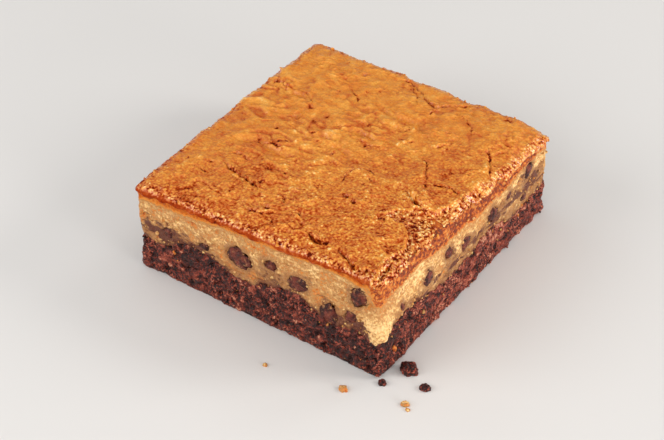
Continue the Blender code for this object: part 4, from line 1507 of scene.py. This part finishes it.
    def smears(self, places: np.ndarray, dough: Dough, zones: CookieZones) -> tuple:
        """Where brownie and chocolate stain the dough.

        Args:
            places: The vertices, shape (n, 3).
            dough: The crumb's patterns.
            zones: The vertices' zones.

        Returns:
            Strengths of the thin smears and of the dark ones.
        """
        warp = dough.warp
        halo = 1.0 - smooth(zones.gap + 0.6 * MM * warp, 0.0, 1.9 * MM)
        patches = smooth(self.patches.over(places), 0.05, 0.35)
        patches = patches * (1.0 - smooth(zones.above_join, 2.0 * MM, 6.0 * MM))
        smear = np.maximum.reduce([0.80 * zones.low, 0.75 * halo, 0.6 * patches])
        for stain in SMEARS:
            smear = np.maximum(smear, stain.strength_at(places, self.form, warp))
        smear *= (1.0 - 0.85 * zones.near_corner) * (1.0 - np.maximum(zones.band, 0.5 * zones.faded))
        specks = (dough.label > 0.80) * np.clip(1.2 - dough.small / 0.5, 0.0, 1.0)
        dark_join = 1.0 - smooth(zones.above_join + 1.6 * MM * warp, 0.1 * MM, 1.3 * MM)
        cocoa = specks * smear + 0.85 * dark_join * (1.0 - 0.7 * zones.near_corner)
        cocoa = np.maximum(cocoa, 0.7 * smear * smooth(self.flecks.over(places), 0.16, 0.34))
        streaky = 1.9 * self.streaks.over(places)
        for stain in DARK_SMEARS:
            cocoa = np.maximum(cocoa, stain.strength_at(places, self.form, streaky))
        return smear, np.maximum(cocoa, self.beside_tongue(places, 0.4 * MM * streaky))

    def build(self, material: bpy.types.Material) -> bpy.types.Object:
        """Makes the cookie with its crumb, pores and sockets.

        Args:
            material: The cookie's finish.

        Returns:
            The cookie's object.
        """
        mesh = self.base_mesh()
        places = vertex_places(mesh)
        dough = self.dough(places)
        zones = self.zones(places, dough.warp)
        push_out(mesh, self.relief(places, dough, zones))
        smear, cocoa = self.smears(places, dough, zones)
        sticky = zones.shown * (1.0 - zones.socket) * (zones.below_top > 1.5 * MM) * (1.0 - zones.glazed)
        put(mesh, "cocoa", np.clip(cocoa, 0.0, 1.0))
        put(mesh, "baked", np.clip(self.browning(places, dough, zones), 0.0, 1.0))
        put(mesh, "smear", np.clip(smear, 0.0, 1.0))
        put(mesh, "glazed", zones.glazed)
        put(mesh, "sticky", sticky * (0.3 + 0.7 * zones.low))
        return new_object("cookie_crumb", mesh, material)


def ragged_join(form: BarForm, x: np.ndarray, y: np.ndarray) -> np.ndarray:
    """The join's height with the small steps that show where the layers meet."""
    flat = np.stack([x, y, np.zeros_like(x)], axis=-1)
    steps = 0.8 * MM * ripple(flat, 3.2 * MM, 61) + 0.5 * MM * ripple(flat, 1.2 * MM, 62)
    return form.join(x, y) + steps


@dataclass
class BrownieBase:
    """The dark base: dense crumb, torn into crags and hollows by the knife."""

    form: BarForm
    spots: list[ChipSpot]
    step: float = 0.20 * MM
    rows: int = 58
    profile: tuple = ((0.0, -0.3), (0.1, 0.05), (0.35, 0.1), (0.68, -0.05), (0.92, -0.15), (1.0, -0.5))
    crags: tuple = ((0.55 * MM, 5.0 * MM), (0.35 * MM, 2.2 * MM))
    big: Pebbles = Pebbles(2.9 * MM, 71)
    middle: Pebbles = Pebbles(1.25 * MM, 72)
    small: Pebbles = Pebbles(0.66 * MM, 73)
    craggy: Bumps = Bumps(2.8 * MM, 74, 4)
    hollows: Bumps = Bumps(2.2 * MM, 75, 3, (1.0, 1.0, 1.5))
    socket_edge: Bumps = Bumps(1.4 * MM, 76, 2)
    fudgy: Bumps = Bumps(7.0 * MM, 77)
    blotches: Bumps = Bumps(4.5 * MM, 78, 2)
    fudge: Smear = Smear(Side.FRONT, -20.2, 8.3, 2.8, 1.7)
    streak: Smear = Smear(Side.FRONT, -23.5, 4.3, 5.0, 0.8)
    craggy_height: float = 0.75 * MM
    big_height: float = 0.60 * MM
    middle_height: float = 0.42 * MM
    small_height: float = 0.30 * MM
    hollow_depth: float = 1.1 * MM
    nick_depth: float = 0.25 * MM
    socket_depth: float = 1.3 * MM
    corner_reach: float = 11.0 * MM

    def base_mesh(self) -> bpy.types.Mesh:
        """The base before its fine relief, flat below and closed above inside the bar."""
        u, v = self.form.loop(self.step)
        x, y = self.form.plan(u, v, -4.0 * MM)
        rings = [np.stack([x, y, np.zeros_like(x)], axis=-1)]
        shares, offsets = np.array(self.profile).T
        for share in np.linspace(0.0, 1.0, self.rows):
            x, y = self.form.plan(u, v, np.interp(share, shares, offsets) * MM)
            high = ragged_join(self.form, x, y) + 0.30 * MM
            rings.append(np.stack([x, y, high * share], axis=-1))
        for inset in (-4.0 * MM, -9.0 * MM):
            x, y = self.form.plan(u, v, inset)
            rings.append(np.stack([x, y, self.form.join(x, y) - 0.15 * MM], axis=-1))
        return ring_mesh("brownie", np.array(rings))

    def build(self, material: bpy.types.Material) -> bpy.types.Object:
        """Makes the brownie with its crags, lumps and holes.

        Args:
            material: The brownie's finish.

        Returns:
            The brownie's object.
        """
        mesh = self.base_mesh()
        places = vertex_places(mesh)
        x, y, z = places.T
        shown = 1.0 - smooth(self.form.inside(x, y), 2.4 * MM, 3.4 * MM)
        big, _, _ = self.big.over(places)
        middle, _, label = self.middle.over(places)
        small, _, small_label = self.small.over(places)
        craggy = self.craggy.over(places)
        hollow = smooth(self.hollows.over(places), 0.12, 0.36)
        gap = nearest_chip(places, self.spots) + 0.25 * MM * self.socket_edge.over(places)
        socket = 1.0 - smooth(gap, -0.60 * MM, -0.25 * MM)
        fudge = self.fudge.strength_at(places, self.form, craggy)
        streak = self.streak.strength_at(places, self.form, craggy)
        fudgy = np.maximum(smooth(self.fudgy.over(places), -0.08, 0.12), fudge)
        crumbly = 1.0 - 0.72 * fudgy

        rise = 0.9 * solid_relief(places, self.crags, 0.0) + self.craggy_height * craggy
        fine = self.middle_height * (0.42 - middle) + self.small_height * (0.4 - small)
        rise += self.big_height * (0.5 - big) + crumbly * fine
        rise -= self.hollow_depth * hollow * (1.0 - 0.4 * fudgy) + self.nick_depth * (small_label > 0.82)
        rise = rise * (1.0 - socket) - self.socket_depth * socket
        grounded = smooth(z, 0.0, 0.6 * MM)
        push_out(mesh, rise * shown * (0.45 + 0.55 * grounded))
        keep_above_ground(mesh)

        from_corner = np.hypot(x - self.form.half_x, y + self.form.half_y)
        corner = np.exp(-((from_corner / self.corner_reach) ** 2))
        above_join = z - ragged_join(self.form, x, y)
        by_join = smooth(above_join + 1.2 * MM * craggy, -1.2 * MM, 0.0) * (small_label > 0.5)
        # Lighter on the pebbles' and crags' tops and darker in the hollows: painted highlights and painted
        # shade, on top of the crumb's own tone.
        lit = 0.37 + 0.32 * (0.45 - middle) + 0.62 * crumbly * (0.42 - small) - 0.50 * hollow + 0.34 * craggy
        # The right face is painted lighter, as painted light from the right; the crumb is also darker near
        # the front corner.
        lit += 0.18 * self.form.on_right(x) * (1.0 - corner) - 0.13 * corner + 0.20 * by_join
        lit += 0.30 * self.blotches.over(places) + 0.30 * (0.5 - big) - 0.30 * fudge + 0.22 * streak
        lit += 0.10 * (label > 0.86) - 0.14 * (label < 0.25)
        lit += 0.24 * (small_label > 0.92) - 0.22 * (small_label < 0.25)
        put(mesh, "lit", np.clip(lit, 0.0, 1.0))
        put(mesh, "fudgy", fudgy)
        lumpy = shown * (1.0 - socket) * (z > 0.1 * MM) * (above_join < -0.3 * MM)
        put(mesh, "sticky", lumpy * (0.35 + 0.65 * smooth(-z, -3.0 * MM, 0.0)) * crumbly)
        put(mesh, "dusted", lumpy * (0.15 + 0.85 * smooth(above_join, -4.0 * MM, -0.5 * MM)))
        return new_object("brownie_crumb", mesh, material)


@dataclass
class SlicedChips:
    """The chips at the cut faces: a low dome towards the knife, and a rounded back."""

    spots: list[ChipSpot]
    spokes: int = 48
    front_rings: int = 13
    back_rings: int = 5
    dome: float = 0.46 * MM
    edge: float = 0.25 * MM
    under_flush: float = 0.06 * MM

    def build_one(self, spot: ChipSpot, material: bpy.types.Material) -> bpy.types.Object:
        """Makes one chip.

        Args:
            spot: Its place and size.
            material: The chocolate's finish.

        Returns:
            The chip's object.
        """
        angle = np.linspace(0.0, 2.0 * math.pi, self.spokes, endpoint=False)
        wheel = np.stack([np.cos(angle), np.sin(angle), np.zeros(self.spokes)], axis=1)
        number = float(sum(map(ord, spot.name)))
        outline = 1.03 + 0.24 * ripple(wheel + number, 0.9, 83) + 0.14 * ripple(wheel + number, 0.35, 84)
        outline -= 0.32 * smooth(ripple(wheel + number, 0.75, 86), 0.22, 0.50)
        reach = np.linspace(0.0, 1.0, self.front_rings + 1)[1:] ** 0.8
        depths = np.linspace(0.0, 1.0, self.back_rings + 1)[1:]
        spread = [(share, self.dome * (1.0 - share**2.6) - self.under_flush, share) for share in reach]
        for deep in depths:
            share = math.sqrt(max(0.0, 1.0 - 0.98 * deep * deep))
            spread.append((share, -self.under_flush - self.edge - 0.8 * deep * spot.depth, 1.0))
        rings, rims = [], []
        for share, height, rim in spread:
            across = spot.long_axis * spot.half_long * share
            upward = spot.short_axis * spot.half_short * share
            ring = spot.middle + (outline * np.cos(angle))[:, None] * across
            ring = ring + (outline * np.sin(angle))[:, None] * upward
            rings.append(ring + spot.side.outward * height)
            rims.append(np.full(self.spokes, rim))
        turn = np.dot(np.cross(spot.long_axis, spot.short_axis), spot.side.outward)
        rings = np.array(rings)[::-1] if turn > 0 else np.array(rings)[::-1, ::-1]
        mesh = ring_mesh(spot.name, rings)
        places = vertex_places(mesh)
        out = (places - spot.middle) @ spot.side.outward
        front = smooth(out, -1.2 * MM, -0.3 * MM)
        rise = 0.36 * MM * rough(places, 2.6 * MM, 81, 3) + 0.07 * MM * rough(places, 0.6 * MM, 82, 2)
        rise -= 0.45 * MM * smooth(ripple(places, 2.6 * MM, 85), 0.10, 0.40)
        push_out(mesh, rise * (0.3 + 0.7 * front))
        # The rim share, 0 in the middle and 1 at the edge, sets the chocolate's painted edge shade and its
        # dough crumbs.
        put(mesh, "rim", np.concatenate(rims[::-1]))
        return new_object(spot.name + "_sliced", mesh, material)

    def build(self, material: bpy.types.Material) -> list[bpy.types.Object]:
        """Makes every chip, in the order of their nodes."""
        return [self.build_one(spot, material) for spot in self.spots]


@dataclass
class CrumbTree:
    """A Geometry Nodes tree that sticks crumbs of uneven size and shape to a surface."""

    name: str
    density: float
    size: float
    share_name: str
    mark_name: str
    mark_range: tuple[float, float]
    seed: int
    tree: bpy.types.NodeTree = field(init=False)
    sockets: dict[str, str] = field(init=False, default_factory=dict)

    def __post_init__(self) -> None:
        """Builds the tree with its named inputs."""
        self.tree = bpy.data.node_groups.new(self.name, "GeometryNodeTree")
        self.tree.interface.new_socket("Surface", in_out="INPUT", socket_type="NodeSocketGeometry")
        for title, kind in (("Density", "Float"), ("Size", "Float"), ("Seed", "Int"), ("Finish", "Material")):
            socket = self.tree.interface.new_socket(title, in_out="INPUT", socket_type="NodeSocket" + kind)
            self.sockets[title] = socket.identifier
        self.tree.interface.new_socket("Crumbs", in_out="OUTPUT", socket_type="NodeSocketGeometry")
        self.wire()

    def add(self, kind: str, **settings: object) -> bpy.types.Node:
        """Adds a node and sets its properties."""
        node = self.tree.nodes.new(kind)
        for name, value in settings.items():
            setattr(node, name, value)
        return node

    def wire(self) -> None:
        """Lays out the nodes: points on the surface, an uneven crumb on each, then real meshes."""
        link = self.tree.links.new
        given = self.add("NodeGroupInput").outputs
        share = self.add("GeometryNodeInputNamedAttribute", data_type="FLOAT")
        share.inputs["Name"].default_value = self.share_name
        dense = self.add("ShaderNodeMath", operation="MULTIPLY")
        link(share.outputs["Attribute"], dense.inputs[0])
        link(given["Density"], dense.inputs[1])
        points = self.add("GeometryNodeDistributePointsOnFaces", distribute_method="RANDOM")
        link(given["Surface"], points.inputs["Mesh"])
        link(dense.outputs[0], points.inputs["Density"])
        link(given["Seed"], points.inputs["Seed"])
        lump = self.add("GeometryNodeMeshIcoSphere")
        lump.inputs["Radius"].default_value = 0.5
        lump.inputs["Subdivisions"].default_value = 2
        shade = self.add("FunctionNodeRandomValue", data_type="FLOAT")
        shade.inputs[2].default_value, shade.inputs[3].default_value = self.mark_range
        shade.inputs["Seed"].default_value = self.seed + 1
        marked = self.add("GeometryNodeStoreNamedAttribute", data_type="FLOAT", domain="POINT")
        marked.inputs["Name"].default_value = self.mark_name
        link(points.outputs["Points"], marked.inputs["Geometry"])
        link(shade.outputs[1], marked.inputs["Value"])
        turn = self.add("FunctionNodeRandomValue", data_type="FLOAT_VECTOR")
        turn.inputs[1].default_value = (2.0 * math.pi,) * 3
        link(given["Seed"], turn.inputs["Seed"])
        wide = self.add("FunctionNodeRandomValue", data_type="FLOAT_VECTOR")
        wide.inputs[0].default_value = (0.35, 0.35, 0.3)
        wide.inputs[1].default_value = (1.0, 0.9, 0.7)
        wide.inputs["Seed"].default_value = self.seed + 2
        rare = self.add("ShaderNodeMath", operation="POWER")
        rare.inputs[1].default_value = 3.0
        chance = self.add("FunctionNodeRandomValue", data_type="FLOAT")
        chance.inputs["Seed"].default_value = self.seed + 3
        link(chance.outputs[1], rare.inputs[0])
        spread = self.add("ShaderNodeMath", operation="MULTIPLY_ADD")
        spread.inputs[1].default_value, spread.inputs[2].default_value = 1.1, 0.5
        link(rare.outputs[0], spread.inputs[0])
        sized = self.add("ShaderNodeMath", operation="MULTIPLY")
        link(spread.outputs[0], sized.inputs[0])
        link(given["Size"], sized.inputs[1])
        grow = self.add("ShaderNodeVectorMath", operation="SCALE")
        link(wide.outputs[0], grow.inputs[0])
        link(sized.outputs[0], grow.inputs["Scale"])
        placed = self.add("GeometryNodeInstanceOnPoints")
        link(marked.outputs["Geometry"], placed.inputs["Points"])
        link(lump.outputs["Mesh"], placed.inputs["Instance"])
        link(turn.outputs[0], placed.inputs["Rotation"])
        link(grow.outputs[0], placed.inputs["Scale"])
        real = self.add("GeometryNodeRealizeInstances")
        link(placed.outputs["Instances"], real.inputs["Geometry"])
        knobbly = self.add("ShaderNodeTexNoise")
        knobbly.inputs["Scale"].default_value = 1.6 / self.size
        centred = self.add("ShaderNodeVectorMath", operation="SUBTRACT")
        centred.inputs[1].default_value = (0.5, 0.5, 0.5)
        link(knobbly.outputs["Color"], centred.inputs[0])
        jolt = self.add("ShaderNodeVectorMath", operation="SCALE")
        jolt.inputs["Scale"].default_value = 0.9 * self.size
        link(centred.outputs[0], jolt.inputs[0])
        uneven = self.add("GeometryNodeSetPosition")
        link(real.outputs["Geometry"], uneven.inputs["Geometry"])
        link(jolt.outputs[0], uneven.inputs["Offset"])
        dressed = self.add("GeometryNodeSetMaterial")
        link(uneven.outputs["Geometry"], dressed.inputs["Geometry"])
        link(given["Finish"], dressed.inputs["Material"])
        link(dressed.outputs["Geometry"], self.add("NodeGroupOutput").inputs["Crumbs"])

    def grow_on(self, name: str, surface: bpy.types.Object, material: bpy.types.Material) -> bpy.types.Object:
        """Grows crumbs on a surface and makes them a plain mesh.

        Args:
            name: The new piece's name.
            surface: What they stick to; its share attribute thins them out.
            material: Their finish.

        Returns:
            The crumbs' object.
        """
        carrier = bpy.data.objects.new(name + "_carrier", surface.data)
        bpy.context.scene.collection.objects.link(carrier)
        modifier = carrier.modifiers.new(self.name, "NODES")
        modifier.node_group = self.tree
        inputs = {"Density": self.density, "Size": self.size, "Seed": self.seed, "Finish": material}
        for title, value in inputs.items():
            modifier[self.sockets[title]] = value
        bpy.context.view_layer.update()
        graph = bpy.context.evaluated_depsgraph_get()
        mesh = bpy.data.meshes.new_from_object(carrier.evaluated_get(graph))
        bpy.data.objects.remove(carrier)
        mesh.name = name
        keep_above_ground(mesh)
        numbers = [item.name for item in mesh.attributes if item.data_type == "FLOAT"]
        for other in numbers:
            if other != self.mark_name:
                mesh.attributes.remove(mesh.attributes[other])
        obj = bpy.data.objects.new(name, mesh)
        bpy.context.scene.collection.objects.link(obj)
        mesh.shade_smooth()
        return obj


@dataclass
class FallenCrumbs:
    """Crumbs that have dropped beside the bar: (x, y, width, height) in millimetres."""

    dark: tuple = ((36.9, -29.3, 4.2, 3.0), (42.7, -31.9, 2.6, 1.8), (34.4, -35.9, 2.0, 1.6))
    tan: tuple = (
        (28.4, -42.1, 2.1, 1.3), (41.8, -38.3, 2.0, 1.3), (10.2, -45.7, 1.2, 0.8), (43.2, -39.4, 1.1, 0.7),
    )

    def build(
        self, name: str, spots: tuple, mark: str, tone: float, material: bpy.types.Material
    ) -> bpy.types.Object:
        """Makes one kind of crumb as one piece.

        Args:
            name: The piece's name.
            spots: The crumbs' places and sizes.
            mark: The attribute that the finish reads.
            tone: The attribute's usual number.
            material: The finish.

        Returns:
            The crumbs' object.
        """
        places, faces, marks = [], [], []
        for number, (x, y, width, height) in enumerate(spots):
            bpy.ops.mesh.primitive_ico_sphere_add(subdivisions=5, radius=1.0)
            ball = bpy.context.object
            unit = vertex_places(ball.data)
            shift = np.array([7.0 * number, 3.0, 0.0])
            lumps, _, _ = pebbles(unit + shift, 0.9, 91)
            swell = 1.0 + 0.30 * rough(unit + shift, 0.9, 92, 3) + 0.45 * (0.45 - lumps)
            shaped = unit * swell[:, None] * np.array([width, width * 0.85, height]) * 0.5 * MM
            shaped[:, 2] = np.maximum(shaped[:, 2] - 0.35 * shaped[:, 2].min(), 0.0)
            base = sum(len(chunk) for chunk in places)
            faces += [[base + corner for corner in face.vertices] for face in ball.data.polygons]
            places.append(shaped + np.array([x, y, 0.0]) * MM)
            marks.append(np.clip(tone + 0.8 * (0.42 - lumps), 0.0, 1.0))
            bpy.data.objects.remove(ball)
        mesh = bpy.data.meshes.new(name)
        mesh.from_pydata(np.concatenate(places).tolist(), [], faces)
        put(mesh, mark, np.concatenate(marks))
        return new_object(name, mesh, material)


@dataclass(frozen=True)
class Studio:
    """Plain pale floor, soft studio light and a camera at the photograph's angle."""

    camera_place: tuple = (0.19101, -0.27119, 0.28546)
    camera_look: tuple = (-0.4459, 0.6197, -0.6459)
    camera_roll: float = -0.90
    lens: float = 100.6
    floor_half: float = 1.5
    key: tuple = ((0.66, 0.40, 0.38), 0.32, 3.0, (1.0, 0.97, 0.93))
    right: tuple = ((0.72, -0.14, 0.11), 0.32, 2.9, (1.0, 0.98, 0.96))
    top: tuple = ((-0.05, 0.05, 0.95), 1.00, 1.35, (1.0, 1.0, 1.0))
    back: tuple = ((0.25, 0.62, 0.68), 0.30, 0.6, (1.0, 0.99, 0.97))
    left: tuple = ((-0.72, 0.10, 0.62), 0.35, 0.4, (1.0, 1.0, 1.0))
    fill: tuple = ((-0.42, -0.52, 0.36), 0.60, 3.2, (1.0, 0.995, 0.985))
    front: tuple = ((0.26, -0.72, 0.34), 0.60, 1.5, (1.0, 0.99, 0.97))
    world: float = 0.37

    def build_camera(self) -> None:
        """Sets the camera that the photograph was taken from."""
        data = bpy.data.cameras.new("camera")
        data.lens = self.lens
        data.clip_start = 0.01
        camera = bpy.data.objects.new("camera", data)
        bpy.context.scene.collection.objects.link(camera)
        forward = Vector(self.camera_look).normalized()
        right = forward.cross(Vector((0.0, 0.0, 1.0))).normalized()
        up = right.cross(forward)
        roll = math.radians(self.camera_roll)
        turned = math.cos(roll) * right + math.sin(roll) * up
        upright = -math.sin(roll) * right + math.cos(roll) * up
        matrix = camera.matrix_world.copy()
        for row in range(3):
            matrix[row][0], matrix[row][1], matrix[row][2] = turned[row], upright[row], -forward[row]
            matrix[row][3] = self.camera_place[row]
        camera.matrix_world = matrix
        bpy.context.scene.camera = camera

    def build_lights(self) -> None:
        """Hangs soft area lights and lights the surroundings evenly."""
        for name, (place, size, power, colour) in (
            ("key", self.key), ("right", self.right), ("top", self.top), ("back", self.back),
            ("left", self.left), ("fill", self.fill), ("front", self.front),
        ):
            data = bpy.data.lights.new(name, "AREA")
            data.shape = "DISK"
            data.size = size
            data.energy = power
            data.color = colour
            light = bpy.data.objects.new(name, data)
            light.location = place
            light.rotation_euler = (-Vector(place)).to_track_quat("-Z", "Y").to_euler()
            bpy.context.scene.collection.objects.link(light)
        world = bpy.data.worlds.new("soft_room")
        world.use_nodes = True
        world.node_tree.nodes["Background"].inputs["Color"].default_value = (1.0, 1.0, 1.0, 1.0)
        world.node_tree.nodes["Background"].inputs["Strength"].default_value = self.world
        bpy.context.scene.world = world
        bpy.context.scene.view_settings.view_transform = "Standard"

    def build_floor(self) -> None:
        """Lays the floor under the bar."""
        bpy.ops.mesh.primitive_plane_add(size=2.0 * self.floor_half)
        floor = bpy.context.object
        floor.name = "floor"
        floor.data.materials.append(FloorFinish().material())


def hand_over(piece: bpy.types.Object, slot: Slot, *nodes: str) -> None:
    """Ties a piece to the bar.

    Args:
        piece: The finished piece.
        slot: The record's slot that its finish belongs to; not used.
        nodes: The nodes that it stands for.
    """
    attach(piece, ROOT)
    if nodes:
        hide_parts(*nodes)
    LOG.info("%s: %d faces", piece.name, len(piece.data.polygons))


def main() -> None:
    """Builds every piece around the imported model."""
    logging.basicConfig(level=logging.INFO, format="%(name)s %(message)s")
    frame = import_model()
    studio = Studio()
    studio.build_camera()
    studio.build_lights()
    studio.build_floor()
    form = BarForm()
    chips = sorted(name for name in frame["nodes"] if name.startswith("chip_"))
    spots = [ChipSpot.measure(name, frame["nodes"][name]) for name in chips]
    crust_material = CrustFinish().material()
    cookie_material = CookieFinish().material()
    brownie_material = BrownieFinish().material()
    chocolate_material = ChocolateFinish().material()
    crust = CrustLid(form).build(crust_material)
    cookie = CookieWall(form, spots).build(cookie_material)
    brownie = BrownieBase(form, spots).build(brownie_material)
    hand_over(crust, Slot.CRUST, "cookie_layer")
    hand_over(cookie, Slot.COOKIE, "cookie_layer")
    hand_over(brownie, Slot.BROWNIE, "brownie_layer")
    for spot, chip in zip(spots, SlicedChips(spots).build(chocolate_material)):
        hand_over(chip, Slot.CHOCOLATE, spot.name)
    brownie_bits = CrumbTree("brownie_bits", 4.5e5, 0.80 * MM, "sticky", "lit", (0.08, 0.66), 3)
    pale_bits = CrumbTree("pale_bits", 0.5e5, 1.15 * MM, "dusted", "baked", (0.25, 0.72), 5)
    cookie_bits = CrumbTree("cookie_bits", 3.0e5, 0.85 * MM, "sticky", "baked", (0.10, 0.45), 7)
    crust_bits = CrumbTree("crust_bits", 3.0e5, 0.72 * MM, "grainy", "browning", (0.04, 0.56), 9)
    stuck = (
        (brownie_bits, brownie, brownie_material, Slot.BROWNIE),
        (pale_bits, brownie, cookie_material, Slot.COOKIE),
        (cookie_bits, cookie, cookie_material, Slot.COOKIE),
        (crust_bits, crust, crust_material, Slot.CRUST),
    )
    for tree, surface, material, slot in stuck:
        hand_over(tree.grow_on(tree.name, surface, material), slot)
    fallen = FallenCrumbs()
    hand_over(fallen.build("fallen_brownie_crumbs", fallen.dark, "lit", 0.14, brownie_material), Slot.BROWNIE)
    hand_over(fallen.build("fallen_cookie_crumbs", fallen.tan, "baked", 0.42, cookie_material), Slot.COOKIE)


if __name__ == "__main__":
    main()
